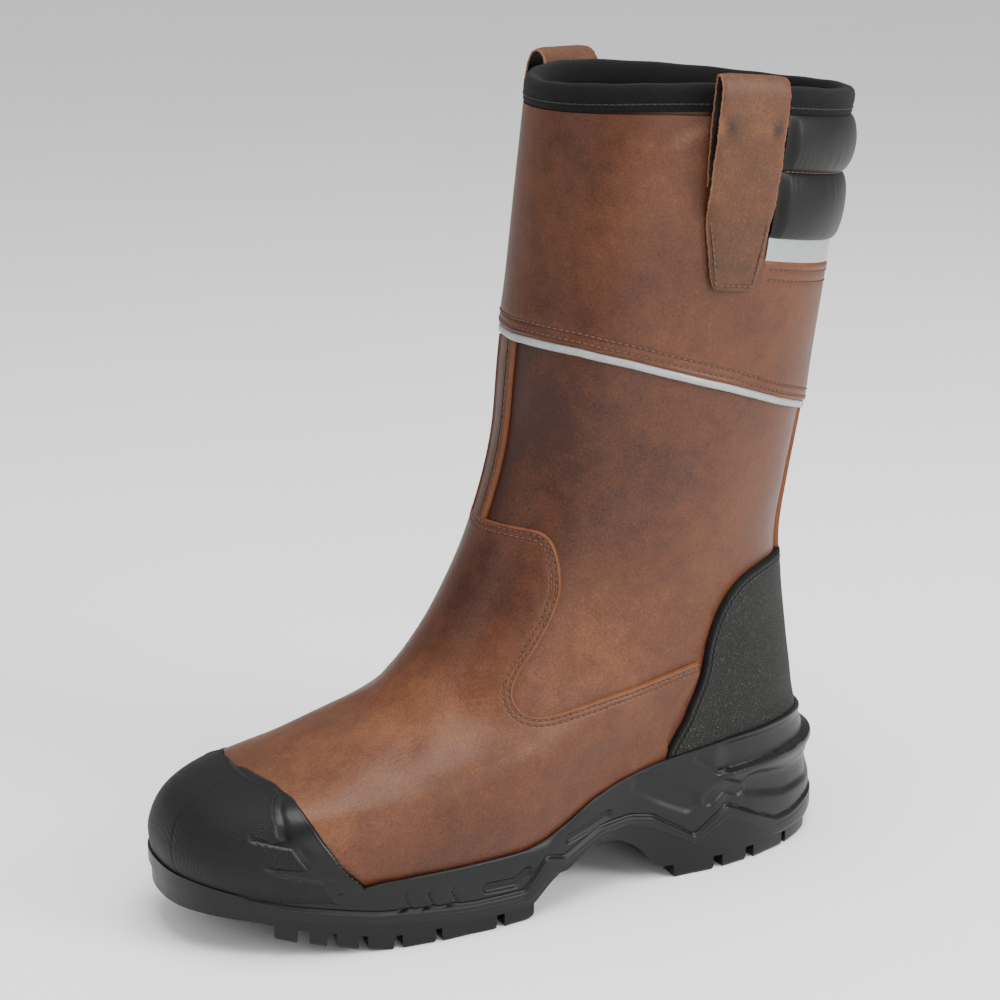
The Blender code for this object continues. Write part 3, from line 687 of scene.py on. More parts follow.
def curve(points: tuple | Array, count: int, soften: int = 0) -> Array:
    """A polyline resampled at even spacing, its corners rounded by a running mean.

    Args:
        points: corners on the chart or in space.
        count: number of points.
        soften: half width of the mean, in points.
    Returns:
        The points.
    """
    points = np.array(points, float)
    weight = (LEG_ROUND, FORM.height) if points.shape[1] == 2 else (1, 1, 1)
    run = run_along(points * weight)
    line = sample(points, run, np.linspace(0, run[-1], count))
    for _ in range(2 if soften else 0):
        before, after = line[soften:0:-1], line[-2:-soften - 2:-1]
        wide = np.concatenate([2 * line[0] - before, line, 2 * line[-1] - after])
        total = np.cumsum(np.vstack([np.zeros(line.shape[1]), wide]), axis=0)
        line = (total[2 * soften + 1:] - total[:-2 * soften - 1]) / (2 * soften + 1)
    return line


def mirrored(edge: Array) -> Array:
    """An outline on the outer side, followed by the same one on the inner side."""
    other = edge[::-1] * (-1, 1) + (1, 0)
    return np.concatenate([edge, other[1:]])


def grid_faces(rows: int, columns: int, wrap: bool = False, tube: bool = False) -> Array:
    """Quads of a grid whose rows go up and whose columns go with u, facing outward.

    Args:
        rows: number of rows.
        columns: number of columns.
        wrap: whether the last column joins the first.
        tube: whether the last row joins the first.
    Returns:
        Four point numbers for each quad.
    """
    index = np.arange(rows * columns).reshape(rows, columns)
    if tube:
        index = np.concatenate([index, index[:1]], axis=0)
    if wrap:
        index = np.concatenate([index, index[:, :1]], axis=1)
    corners = (index[:-1, :-1], index[1:, :-1], index[1:, 1:], index[:-1, 1:])
    return np.stack(corners, axis=-1).reshape(-1, 4)


def border(faces: Array) -> Array:
    """Edges that only one face has.

    Args:
        faces: quads by point number.
    Returns:
        Pairs of point numbers, in the direction of their face.
    """
    edges = np.stack([faces, np.roll(faces, -1, axis=1)], axis=-1).reshape(-1, 2)
    size = edges.max() + 1
    here, back = edges[:, 0] * size + edges[:, 1], edges[:, 1] * size + edges[:, 0]
    return edges[~np.isin(here, back)]


@dataclass
class Piece:
    """Points and faces on their way to becoming an object of the scene."""

    points: Array
    faces: Array
    values: dict[str, Array] = field(default_factory=dict)
    uv: Array | None = None

    def make(self, name: str, material: bpy.types.Material, *nodes: str, slot: str | None = None,
             sharp: float = 0.7) -> bpy.types.Object:
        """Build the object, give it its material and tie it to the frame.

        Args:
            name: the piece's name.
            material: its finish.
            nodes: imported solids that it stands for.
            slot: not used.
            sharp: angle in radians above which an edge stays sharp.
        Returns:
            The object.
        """
        mesh = bpy.data.meshes.new(name)
        mesh.from_pydata(self.points.reshape(-1, 3).tolist(), [], self.faces.tolist())
        mesh.shade_smooth()
        mesh.set_sharp_from_angle(angle=sharp)
        for key, value in self.values.items():
            channel = mesh.attributes.new(key, "FLOAT", "POINT")
            channel.data.foreach_set("value", np.asarray(value, np.float32).ravel())
        if self.uv is not None:
            corner = np.zeros(len(mesh.loops), np.int32)
            mesh.loops.foreach_get("vertex_index", corner)
            mesh.uv_layers.new(name="UVMap").data.foreach_set(
                "uv", self.uv.reshape(-1, 2)[corner].astype(np.float32).ravel())
        mesh.materials.append(material)
        thing = bpy.data.objects.new(name, mesh)
        bpy.context.scene.collection.objects.link(thing)
        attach(thing, "root")
        if nodes:
            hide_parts(*nodes)
        LOG.info("%s: %d faces", name, len(self.faces))
        return thing


def layer(outer: Array, inner: Array, wrap: bool = False,
          mask: Array | None = None) -> tuple[Array, Array, Array]:
    """A closed sheet between two grids: outer faces, inner faces turned round, and walls.

    Args:
        outer: points, rows by columns by 3.
        inner: the same for the inner side.
        wrap: whether the last column joins the first.
        mask: which quads to keep, rows by columns.
    Returns:
        The points in use, the quads, and which of all points are in use.
    """
    rows, columns = outer.shape[:2]
    faces = grid_faces(rows, columns, wrap)
    if mask is not None:
        faces = faces[mask.ravel()]
    rim = border(faces)
    shift = rows * columns
    walls = np.stack([rim[:, 1], rim[:, 0], rim[:, 0] + shift, rim[:, 1] + shift], axis=-1)
    every = np.concatenate([faces, faces[:, ::-1] + shift, walls])
    points = np.concatenate([outer.reshape(-1, 3), inner.reshape(-1, 3)])
    used, every = np.unique(every, return_inverse=True)
    return points[used], every.reshape(-1, 4), used


def both_sides(values: Array, used: Array | slice = slice(None)) -> Array:
    """One value for each point of a layer, the same on its outer and its inner side."""
    return np.concatenate([values.ravel()] * 2)[used]


def spread_uv(points: Array) -> Array:
    """Metres along the middle row and the middle column, for patterns that follow the surface.

    Args:
        points: rows by columns by 3.
    Returns:
        The map, rows by columns by 2.
    """
    rows, columns = points.shape[:2]
    x, y = run_along(points[rows // 2]), run_along(points[:, columns // 2])
    return chart_grid(x[None, :], y[:, None])


def tone_at(points: Array) -> Array:
    """Base shade of the hide: soft blots set on the boot.

    Each blot is a Gaussian of the distance to its centre. Sizes are millimetres.

    Args:
        points: last axis x, y, z.
    Returns:
        0 dark to 1 light, at each point.
    """
    blots = (
        ((150, 26, 82), 36, 0.20), ((205, 10, 72), 40, 0.10), ((222, 38, 42), 26, 0.22),
        ((190, 35, 62), 26, 0.06), ((150, 50, 35), 34, -0.10), ((120, 45, 70), 30, 0.04),
        ((128, 22, 128), 26, -0.26), ((142, 2, 120), 22, -0.10), ((98, 42, 105), 22, 0.12),
        ((60, 45, 110), 40, 0.10), ((35, 44, 170), 30, 0.02), ((75, 44, 205), 34, -0.06),
        ((60, 44, 180), 36, -0.10), ((102, 14, 190), 34, -0.24),
        ((100, 20, 240), 30, -0.14), ((10, 40, 230), 34, 0.02), ((55, 50, 300), 24, 0.14),
        ((95, 28, 300), 26, -0.20), ((40, 48, 262), 30, -0.12), ((90, 30, 258), 18, 0.06),
        ((0, 30, 262), 22, 0.10), ((60, 44, 60), 26, 0.06), ((100, 42, 48), 22, -0.05),
        ((180, -30, 70), 40, 0.10), ((60, -44, 110), 40, 0.06), ((90, -40, 240), 30, -0.12),
    )
    total = np.full(points.shape[:-1], 0.47)
    for centre, size, strength in blots:
        apart = np.linalg.norm(points - np.array(centre) * MM, axis=-1)
        total += strength * bell(apart, size * MM)
    return total


def scuff_at(points: Array) -> Array:
    """Rubbed marks: short strokes, each a thin Gaussian along a segment.

    Args:
        points: last axis x, y, z.
    Returns:
        0 to 1, at each point.
    """
    strokes = (
        ((99.0, 27, 258), (93.0, 32, 257), 1.0, 0.50), ((98.5, 27, 263), (93.5, 31, 262.5), 0.9, 0.45),
        ((99.2, 26, 268), (92.0, 33, 268), 1.0, 0.55), ((98.8, 26, 274), (93.5, 31, 273), 0.8, 0.40),
        ((97.6, 29, 250), (95.0, 31, 246), 2.0, 0.60), ((99.0, 26, 280), (94.5, 30, 279), 0.9, 0.40),
        ((40.0, 49, 306), (32.0, 49, 299), 0.7, 0.45), ((70.0, 47, 300), (64.0, 47, 296), 1.6, 0.40),
        ((24.0, 46, 252), (23.0, 46, 240), 0.7, 0.50), ((52.0, 47, 250), (51.0, 47, 243), 0.6, 0.40),
        ((55.0, 41, 92), (53.0, 41, 82), 0.7, 0.60), ((61.0, 41, 74), (59.0, 41, 68), 0.6, 0.50),
        ((75.0, 42, 80), (73.0, 42, 73), 0.7, 0.35), ((84.0, 43, 70), (79.0, 43, 69), 0.8, 0.30),
        ((205.0, 5, 84), (190.0, 20, 80), 3.5, 0.30), ((212.0, 0, 80), (200.0, 14, 80), 2.2, 0.28),
        ((150.0, 32, 74), (140.0, 36, 76), 1.4, 0.25), ((108.0, 44, 40), (101.0, 44, 45), 0.9, 0.35),
        ((120.0, 46, 58), (112.0, 46, 62), 1.3, 0.25), ((44.0, 50, 318), (56.0, 50, 312), 2.2, 0.35),
    )
    flat = points.reshape(-1, 3)
    total = np.zeros(len(flat))
    for one, two, width, strength in strokes:
        a, b = np.array(one) * MM, np.array(two) * MM
        along = np.clip((flat - a) @ (b - a) / ((b - a) @ (b - a)), 0, 1)
        apart = np.linalg.norm(flat - a - along[:, None] * (b - a), axis=1)
        total = np.maximum(total, strength * bell(apart, width * MM))
    return total.reshape(points.shape[:-1])


@dataclass(frozen=True)
class Hem:
    """Profile of a leather edge by the distance from it: a rounded rim and grooves for stitches."""

    height: float = COVER
    round_over: float = 1.0 * MM
    swell: float = 0.22 * MM
    rows: tuple[float, ...] = (1.9 * MM, 4.0 * MM)
    groove: float = 0.30 * MM

    def out(self, distance: Array) -> Array:
        """Height over the form: a quarter circle at the edge, a low swell, a dent for each row.

        Args:
            distance: metres from the edge.
        Returns:
            Metres, outward.
        """
        rise = np.sqrt(1 - (1 - np.clip(distance / self.round_over, 0, 1)) ** 2)
        shape = self.height * rise + self.swell * bell(distance - 0.9 * MM, 0.8 * MM)
        for row in self.rows:
            shape = shape - self.groove * bell(distance - row, 0.45 * MM)
        return shape


# Distances from a leather edge at which its band has points, close together where the profile turns
BAND = np.array([5.6, 5.0, 4.5, 4.2, 3.9, 3.5, 3.0, 2.5, 2.2, 1.9,
                 1.6, 1.3, 1.0, 0.7, 0.45, 0.22, 0.08, 0.0]) * MM


def ruled(edge: Array, foot_ends: tuple[float, float], rows: int) -> tuple[Array, Array]:
    """A grid ruled from the sole to a line inside an edge, then a band along the edge.

    Args:
        edge: the visible edge on the chart.
        foot_ends: first and last u at the sole.
        rows: rows below the band.
    Returns:
        The chart points and their distances from the edge, rows by columns.
    """
    band = FORM.inset(edge, BAND)
    foot = np.stack([np.linspace(*foot_ends, len(edge)), np.full(len(edge), 0.012)], axis=-1)
    share = np.linspace(0, 1, rows + 1)[:-1, None, None]
    chart = np.concatenate([foot * (1 - share) + band[0] * share, band])
    distance = np.concatenate([np.full(rows, 20 * MM), BAND])[:, None] * np.ones(len(edge))
    return chart, distance


def leather_piece(chart: Array, distance: Array, hem: Hem, wrap: bool = False,
                  mask: Array | None = None, lift: Array | float = 0.0,
                  floor: float = 0.05 * MM) -> Piece:
    """A leather layer on the form, closed underneath, with its rim, tone and scuff values.

    Args:
        chart: (u, v) of the grid, rows by columns.
        distance: metres from the visible edge, at each point.
        hem: the edge's profile.
        wrap: whether the last column joins the first.
        mask: which quads to keep.
        lift: more height over the form.
        floor: height of the hidden side.
    Returns:
        The piece.
    """
    u, v = chart[..., 0], chart[..., 1]
    outer = FORM.surface(u, v, hem.out(distance) + lift)
    inner = FORM.surface(u, v, floor)
    points, faces, used = layer(outer, inner, wrap, mask)
    rim = 0.62 * bell(distance, 0.7 * MM) + 0.12 * bell(distance - 3 * MM, 3 * MM)
    values = {"rim": rim, "tone": tone_at(outer), "scuff": scuff_at(outer)}
    return Piece(points, faces, {key: both_sides(value, used) for key, value in values.items()})


@dataclass
class Seams:
    """Rows of lockstitch: each stitch a low bead along its row, with a low dome of painted shade at each
    needle puncture.
    """

    pitch: float = 2.7 * MM
    girth: float = 0.36 * MM
    sides: int = 6
    rings: int = 7
    points: list[Array] = field(default_factory=list)
    faces: list[Array] = field(default_factory=list)
    hole_shades: list[Array] = field(default_factory=list)
    count: int = 0

    def sew(self, line: Array, normal: Array) -> None:
        """Add a row along a line in space. Each stitch is an ellipsoid whose ends dip.

        Args:
            line: points of the row on the leather.
            normal: outward directions there.
        """
        run = run_along(line)
        number = max(int(run[-1] / self.pitch), 1)
        pitch = run[-1] / number
        middle = (np.arange(number) + 0.5) * pitch
        centre, up = sample(line, run, middle), sample(normal, run, middle)
        reach = 0.3 * pitch
        ahead = sample(line, run, middle + reach) - sample(line, run, middle - reach)
        ahead /= np.linalg.norm(ahead, axis=1)[:, None]
        up /= np.linalg.norm(up, axis=1)[:, None]
        side = np.cross(up, ahead)
        t = np.linspace(-1, 1, self.rings)
        turn = 2 * np.pi * np.arange(self.sides) / self.sides
        thick = self.girth * np.sqrt(np.clip(1 - 0.93 * t**4, 0, 1))
        x = t * 0.44 * pitch
        z = self.girth * (0.55 - 0.9 * t**2)
        body = (centre[:, None, None] + ahead[:, None, None] * x[None, :, None, None]
                + side[:, None, None] * (thick[:, None] * np.cos(turn))[None, :, :, None]
                + up[:, None, None] * (z[:, None] + 0.8 * thick[:, None] * np.sin(turn))[None, :, :, None])
        last = (self.rings - 1) * self.sides
        caps = np.array(((0, 1, 2, 3), (0, 3, 4, 5), (last + 3, last + 2, last + 1, last),
                         (last + 5, last + 4, last + 3, last)))
        quads = np.concatenate([grid_faces(self.rings, self.sides, True)[:, ::-1], caps])
        # painted shade: each stitch darkens toward its ends, where it dips into the leather
        dark = np.broadcast_to((np.abs(t) ** 6)[None, :, None], (number, self.rings, self.sides))
        self.take(body, quads, dark)
        ends = np.arange(number + 1) * pitch
        self.prick(sample(line, run, ends), sample(normal, run, ends))

    def take(self, bodies: Array, quads: Array, dark: Array) -> None:
        """Add copies of one small body to the piece.

        Args:
            bodies: points, the first axis one body each.
            quads: faces of one body by its own point numbers.
            dark: painted shade at each point, from 0 to 1.
        """
        points = bodies.reshape(len(bodies), -1, 3)
        shift = self.count + np.arange(len(points))[:, None, None] * points.shape[1]
        self.points.append(points.reshape(-1, 3))
        self.faces.append((quads[None] + shift).reshape(-1, 4))
        self.hole_shades.append(dark.ravel())
        self.count += dark.size

    def prick(self, centre: Array, up: Array) -> None:
        """Add the needle punctures: low domes of six sides between the stitches, coloured wholly in painted
        shade.

        Args:
            centre: where the needle went in.
            up: outward directions there.
        """
        up = up / np.linalg.norm(up, axis=1)[:, None]
        side = np.cross(up, np.roll(up, 1, axis=1) + (0.3, 0.1, 0.2))
        side /= np.linalg.norm(side, axis=1)[:, None]
        other = np.cross(up, side)
        turn = 2 * np.pi * np.arange(6) / 6
        radius = 1.35 * self.girth
        ring = (centre[:, None] + radius * (side[:, None] * np.cos(turn)[None, :, None]
                                            + other[:, None] * np.sin(turn)[None, :, None])
                - 0.10 * MM * up[:, None])
        top = ring * 0.45 + centre[:, None] * 0.55 + 0.13 * MM * up[:, None]
        body = np.concatenate([ring, top], axis=1)
        here = np.arange(6)
        after = (here + 1) % 6
        quads = np.stack([here, after, after + 6, here + 6], axis=-1)
        caps = np.array([[6, 7, 8, 9], [6, 9, 10, 11], [3, 2, 1, 0], [5, 4, 3, 0]])
        # painted shade over the whole of each puncture dome
        self.take(body, np.concatenate([quads, caps]), np.ones(len(centre) * 12))

    def on_form(self, chart: Array, out: float | Array) -> None:
        """Add a row that lies on the form at this height."""
        u, v = chart.T
        self.sew(FORM.surface(u, v, out), FORM.normal(u, v))

    def make(self, name: str, material: bpy.types.Material) -> bpy.types.Object:
        """Build all rows as one piece."""
        points, faces, hole_shades = (np.concatenate(part) for part in (self.points, self.faces, self.hole_shades))
        return Piece(points, faces, {"hole_shade": hole_shades}).make(name, material)


@dataclass
class Leathers:
    """The brown leather pieces: shaft, vamp, cuff and the strips over front and back seams."""

    leather: bpy.types.Material
    edge_leather: bpy.types.Material
    seams: Seams
    vamp_top: tuple = (
        (0.1905, 0.408), (0.222, 0.395), (0.262, 0.378), (0.290, 0.368), (0.308, 0.373),
        (0.326, 0.388), (0.341, 0.407), (0.349, 0.427), (0.352, 0.450), (0.350, 0.490),
        (0.349, 0.525), (0.352, 0.566), (0.362, 0.598), (0.374, 0.624), (0.387, 0.641),
        (0.404, 0.648), (0.450, 0.646), (0.500, 0.643))
    cuff_bottom: tuple = (
        (0.00, 0.808), (0.08, 0.812), (0.17, 0.820), (0.24, 0.829), (0.29, 0.834),
        (0.34, 0.838), (0.40, 0.840), (0.47, 0.839), (0.50, 0.838))
    cuff_back_top: float = 0.9170
    cuff_top: float = 0.9860
    window_half: float = 0.2235
    cuff_round: float = 0.42
    foot_ends: tuple[float, float] = (0.165, 0.835)
    counter_end: float = 0.187
    front_stay: tuple[float, float] = (0.497, 0.548)
    front_round: float = 0.34
    back_stay: float = 0.058

    def cuff_edge(self, u: Array) -> Array:
        """v of the cuff's lower edge."""
        return np.interp(np.minimum(u % 1, 1 - u % 1), *np.array(self.cuff_bottom).T)

    def build_shaft(self) -> None:
        """The shaft: the whole form as one leather wall, seen between vamp and cuff."""
        u, v = np.linspace(0, 1, 210, endpoint=False)[None], np.linspace(0.0, 1.0, 100)[:, None]
        u, v = np.broadcast_arrays(u, v)
        outer = FORM.surface(u, v)
        inner = FORM.surface(u, v, -1.3 * MM)
        points, faces, used = layer(outer, inner, True)
        shadow = 0.30 * bell((u - 0.489) * 0.33, 4 * MM) * (u < 0.4975)
        tone = tone_at(outer) - shadow
        values = {"rim": np.zeros(tone.shape), "tone": tone, "scuff": scuff_at(outer)}
        values = {key: both_sides(value, used) for key, value in values.items()}
        Piece(points, faces, values).make("shaft", self.leather, "upper", slot="upper")

    def build_vamp(self) -> None:
        """The vamp: a ruled grid from the sole to a line inside its edge, then a band along it."""
        edge = mirrored(curve(self.vamp_top, 200, 3))
        chart, distance = ruled(edge, self.foot_ends, 45)
        fade = 1 - smooth_step(0.19 - np.minimum(chart[..., 0], 1 - chart[..., 0]), 0.0, 0.022)
        hem = Hem()
        piece = leather_piece(chart, distance, hem, lift=-0.9 * MM * (1 - fade))
        piece.make("vamp_leather", self.leather, "vamp", slot="vamp")
        for row in hem.rows:
            line = FORM.inset(edge, np.array([row]))[0]
            clear = (line[:, 0] > self.counter_end) & (line[:, 0] < 1 - self.counter_end)
            self.seams.on_form(line[clear], hem.height - 0.16 * MM)

    def build_cuff(self) -> None:
        """The cuff: one ring with a window at the back, its quads left out there."""
        fine = np.array([0.0, 0.08, 0.22, 0.45, 0.8, 1.2, 1.6, 1.9,
                         2.3, 2.8, 3.3, 3.7, 4.0, 4.4, 5.0, 5.8]) * MM
        sides = 1 - self.window_half
        near = fine[1:9] / self.cuff_round
        back_count = 120
        u = np.concatenate([np.linspace(-self.window_half, self.window_half, back_count),
                            self.window_half + near,
                            np.linspace(self.window_half + 0.010, sides - 0.010, 150), sides - near[::-1]])
        bottom = self.cuff_edge(u)
        top = self.cuff_back_top - fine[::-1] / LEG_PER_V
        mid = np.linspace(0, 1, 26)[1:-1, None]
        lower = bottom[None] + (fine / LEG_PER_V)[:, None]
        rows = np.concatenate([lower, lower[-1:] * (1 - mid) + top[0] * mid,
                               np.broadcast_to(top[:, None], (len(top), len(u)))])
        high = np.linspace(self.cuff_back_top, self.cuff_top, 24)[1:]
        rows = np.concatenate([rows, np.broadcast_to(high[:, None], (len(high), len(u)))])
        chart = chart_grid(u, rows)
        back = np.abs(u) <= self.window_half + 1e-9
        from_bottom = (rows - bottom[None]) * LEG_PER_V
        from_top = np.where(back[None], (self.cuff_back_top - rows) * LEG_PER_V, 1.0)
        beside = (np.minimum(u, 1 - u) - self.window_half) * self.cuff_round
        from_side = np.where(rows >= self.cuff_back_top, beside, 1.0)
        distance = np.clip(np.minimum(np.minimum(from_bottom, from_top), from_side), 0, 1)
        mask = np.ones((len(rows) - 1, len(u)), bool)
        mask[-len(high):, :back_count - 1] = False
        hem = Hem(swell=0.30 * MM)
        stand = 0.8 * MM * bell(from_bottom, 9 * MM) * smooth_step(from_bottom, 0, 1.5 * MM)
        piece = leather_piece(chart, distance, hem, True, mask, lift=stand)
        piece.make("cuff_leather", self.leather, "cuff", slot="cuff")
        for row in hem.rows:
            around = np.linspace(0, 1, 700)
            line = np.stack([around, self.cuff_edge(around) + row / LEG_PER_V], axis=-1)
            self.seams.on_form(line, hem.height + 0.55 * MM)
            across = np.linspace(-0.215, 0.215, 400)
            line = chart_grid(across, np.array(self.cuff_back_top - row / LEG_PER_V))
            self.seams.on_form(line, hem.height - 0.14 * MM)

    def strip(self, sides: tuple[float, float], low: float, high: float, hem: Hem,
              lift: float = 0.0) -> Piece:
        """A strip up the leg, both its long edges rounded.

        Args:
            sides: u of its two edges.
            low: v of its lower end.
            high: v of its upper end.
            hem: the edges' profile.
            lift: more height over the form.
        Returns:
            The piece.
        """
        width = np.linalg.norm(FORM.skin(sides[0], 0.75) - FORM.skin(sides[1], 0.75))
        half = BAND[::-1][:-2]
        half = half[half < 0.45 * width]
        flat = np.linspace(half[-1], width - half[-1], 8)[1:-1]
        across = np.concatenate([half, flat, width - half[::-1]])
        u = sides[0] + (sides[1] - sides[0]) * across / width
        chart = chart_grid(u[None], np.linspace(low, high, 90)[:, None])
        distance = np.broadcast_to(np.minimum(across, width - across), chart.shape[:2])
        return leather_piece(chart, distance, hem, lift=lift)

    def build_stays(self) -> None:
        """The strips over the front and back seams, the front one with a rolled edge."""
        hem = Hem(swell=0.55 * MM)
        front = self.strip(self.front_stay, 0.640, 0.833, hem)
        front.make("front_stay_leather", self.leather, "front_stay", slot="front_stay")
        v = np.linspace(0.648, 0.8305, 200)
        for offset in (2.4 * MM, 4.6 * MM):
            u = self.front_stay[0] + offset / self.front_round
            self.seams.on_form(chart_grid(np.array(u), v), COVER - 0.1 * MM)
        rough = Hem(swell=0.5 * MM, rows=())
        back = self.strip((-self.back_stay, self.back_stay), 0.598, 0.806, rough)
        back.make("back_stay_leather", self.edge_leather, "back_stay", slot="back_stay")
        thin = Hem(height=0.9 * MM, swell=0.4 * MM, rows=())
        cuff = self.strip((-0.045, 0.045), 0.811, 0.9165, thin, COVER)
        cuff.make("cuff_back_seam", self.edge_leather)

    def build(self) -> None:
        """Build every leather piece."""
        self.build_shaft()
        self.build_vamp()
        self.build_cuff()
        self.build_stays()


@dataclass
class HeelCounter:
    """The textile counter round the heel with its dark bound edge and two rows of stitches."""

    cloth: bpy.types.Material
    edge: tuple = (
        (0.174, 0.100), (0.174, 0.127), (0.170, 0.190), (0.170, 0.250), (0.175, 0.320),
        (0.183, 0.398), (0.189, 0.451), (0.190, 0.501), (0.185, 0.539), (0.173, 0.568),
        (0.149, 0.588), (0.110, 0.598), (0.050, 0.600), (0.0, 0.600))
    heel_round: float = 260 * MM

    def build(self, seams: Seams) -> None:
        """A ruled grid from the sole to a line inside the edge, then a band along the edge.

        Args:
            seams: takes the stitches.
        """
        half = curve(self.edge, 140, 3)
        whole = np.concatenate([half, half[::-1][1:] * (-1, 1)])[::-1]
        chart, distance = ruled(whole, (whole[0, 0], whole[-1, 0]), 41)
        hem = Hem(height=COVER + 0.75 * MM, swell=0.25 * MM)
        piece = leather_piece(chart, distance, hem)
        rim = 1 - smooth_step(distance, 3.6 * MM, 4.4 * MM)
        piece.values = {"rim": both_sides(rim) * 0.8}
        piece.uv = np.concatenate([(chart * (self.heel_round, FORM.height)).reshape(-1, 2)] * 2)
        piece.make("heel_counter_cloth", self.cloth, "heel_counter", slot="heel_counter")
        for row in hem.rows:
            line = FORM.inset(whole, np.array([row]))[0]
            seams.on_form(line[line[:, 1] > 0.11], hem.height - 0.16 * MM)


# Along the sole: x as a share of its length; the tread's height over the floor, how far the wall
# stands out from the feather line and the cup's thickness, in millimetres; the cup's upper edge as v
SOLE_COLUMNS = ("x", "floor", "spread", "lip", "rim")
SOLE_ROWS = (
    (0.000, 1.5, 11.0, 2.4, 0.088), (0.012, 1.0, 10.8, 2.4, 0.092), (0.045, 0.0, 10.0, 2.4, 0.104),
    (0.085, 0.0, 9.5, 2.4, 0.113), (0.125, 0.0, 9.2, 2.4, 0.121), (0.175, 0.0, 9.0, 2.2, 0.131),
    (0.212, 0.0, 9.0, 2.0, 0.132), (0.268, 0.0, 8.8, 1.6, 0.130), (0.305, 0.0, 8.6, 1.4, 0.126),
    (0.345, 12.0, 8.4, 1.2, 0.118), (0.385, 17.5, 8.0, 1.2, 0.108), (0.430, 18.5, 7.6, 1.2, 0.091),
    (0.470, 14.5, 7.3, 1.2, 0.064), (0.508, 8.0, 7.0, 1.2, 0.046), (0.540, 0.0, 7.0, 1.2, 0.040),
    (0.620, 0.0, 7.0, 1.2, 0.048), (0.690, 0.0, 7.0, 1.2, 0.052), (0.760, 0.0, 7.0, 1.6, 0.053),
    (0.815, 3.0, 7.0, 2.4, 0.043), (0.870, 6.2, 7.0, 3.0, 0.033), (0.925, 10.0, 7.3, 3.0, 0.030),
    (0.955, 11.0, 7.6, 3.0, 0.038), (0.982, 11.5, 8.0, 3.0, 0.044), (1.000, 11.0, 8.0, 3.0, 0.044),
)
# Lines on the sole's side: millimetres from the heel's back edge, and over the floor
PARTING = (
    (0, 11), (5, 9.5), (15, 7.5), (36, 7.5), (54, 19), (64, 24), (81, 15), (104, 27), (115, 30),
    (129, 27), (145, 18), (154, 19), (163, 10), (189, 10), (230, 13), (263, 18.5), (278, 22),
    (285, 28), (296, 28), (303, 25))
RIB_LINE = (
    (0, 18), (8, 17), (27, 14.1), (36, 14.3), (54, 23), (65, 28.4), (81, 17.5), (101, 30),
    (111.5, 32.2), (127, 31), (146, 22.9), (155, 25.4), (166, 13.3), (189, 13.6), (230, 16.5),
    (263, 22), (278, 26), (285, 32.5), (303, 32.5))


@dataclass
class SoleWall:
    """The sole's side at evenly spaced places round the feather line."""

    count: int = 760

    def __post_init__(self) -> None:
        """Work out places, directions and the tables' columns at each place."""
        trial = np.linspace(0, 1, 8001)
        line = FORM.skin(trial, 0.0)
        run = run_along(line)
        self.u = np.interp(np.linspace(0, run[-1], self.count, endpoint=False), run, trial)
        self.feather = FORM.skin(self.u, 0.0)
        ahead = np.roll(self.feather, -3, axis=0) - np.roll(self.feather, 3, axis=0)
        side = np.stack([-ahead[:, 1], ahead[:, 0], 0 * ahead[:, 0]], axis=-1)
        side *= np.sign((side * (self.feather - self.feather.mean(0))).sum(1))[:, None]
        self.side = side / np.linalg.norm(side, axis=1)[:, None]
        low, high = line[:, 0].min(), line[:, 0].max()
        self.share = (self.feather[:, 0] - low) / (high - low)
        table = dict(zip(SOLE_COLUMNS, np.array(SOLE_ROWS).T))
        self.table = {key: self.soften(np.interp(self.share, table["x"], table[key]))
                      for key in SOLE_COLUMNS}
        wall = self.ring(0.0)
        self.x = (wall[:, 0] + FORM.heel_centre) / MM
        self.parting = self.soften(np.interp(self.x, *np.array(PARTING, float).T), 1) * MM
        self.rib = self.soften(np.interp(self.x, *np.array(RIB_LINE, float).T), 1) * MM

    def soften(self, values: Array, reach: int = 3) -> Array:
        """A running mean round the sole."""
        return sum(np.roll(values, k) for k in range(-reach, reach + 1)) / (2 * reach + 1)

    def ring(self, out: Array | float) -> Array:
        """A ring at the wall, moved out by this much; heights still the feather line's."""
        return self.feather + self.side * (self.table["spread"] * MM + out)[:, None]


def to_segments(x: Array, z: Array, path: tuple) -> Array:
    """Distance to a polyline on the sole's side.

    Args:
        x: millimetres from the heel's back edge.
        z: millimetres over the floor.
        path: corners of the polyline.
    Returns:
        Millimetres.
    """
    best = np.full(np.broadcast(x, z).shape, 1e3)
    for (x0, z0), (x1, z1) in zip(path[:-1], path[1:]):
        dx, dz = x1 - x0, z1 - z0
        t = np.clip(((x - x0) * dx + (z - z0) * dz) / (dx * dx + dz * dz), 0, 1)
        best = np.minimum(best, np.hypot(x - x0 - t * dx, z - z0 - t * dz))
    return best


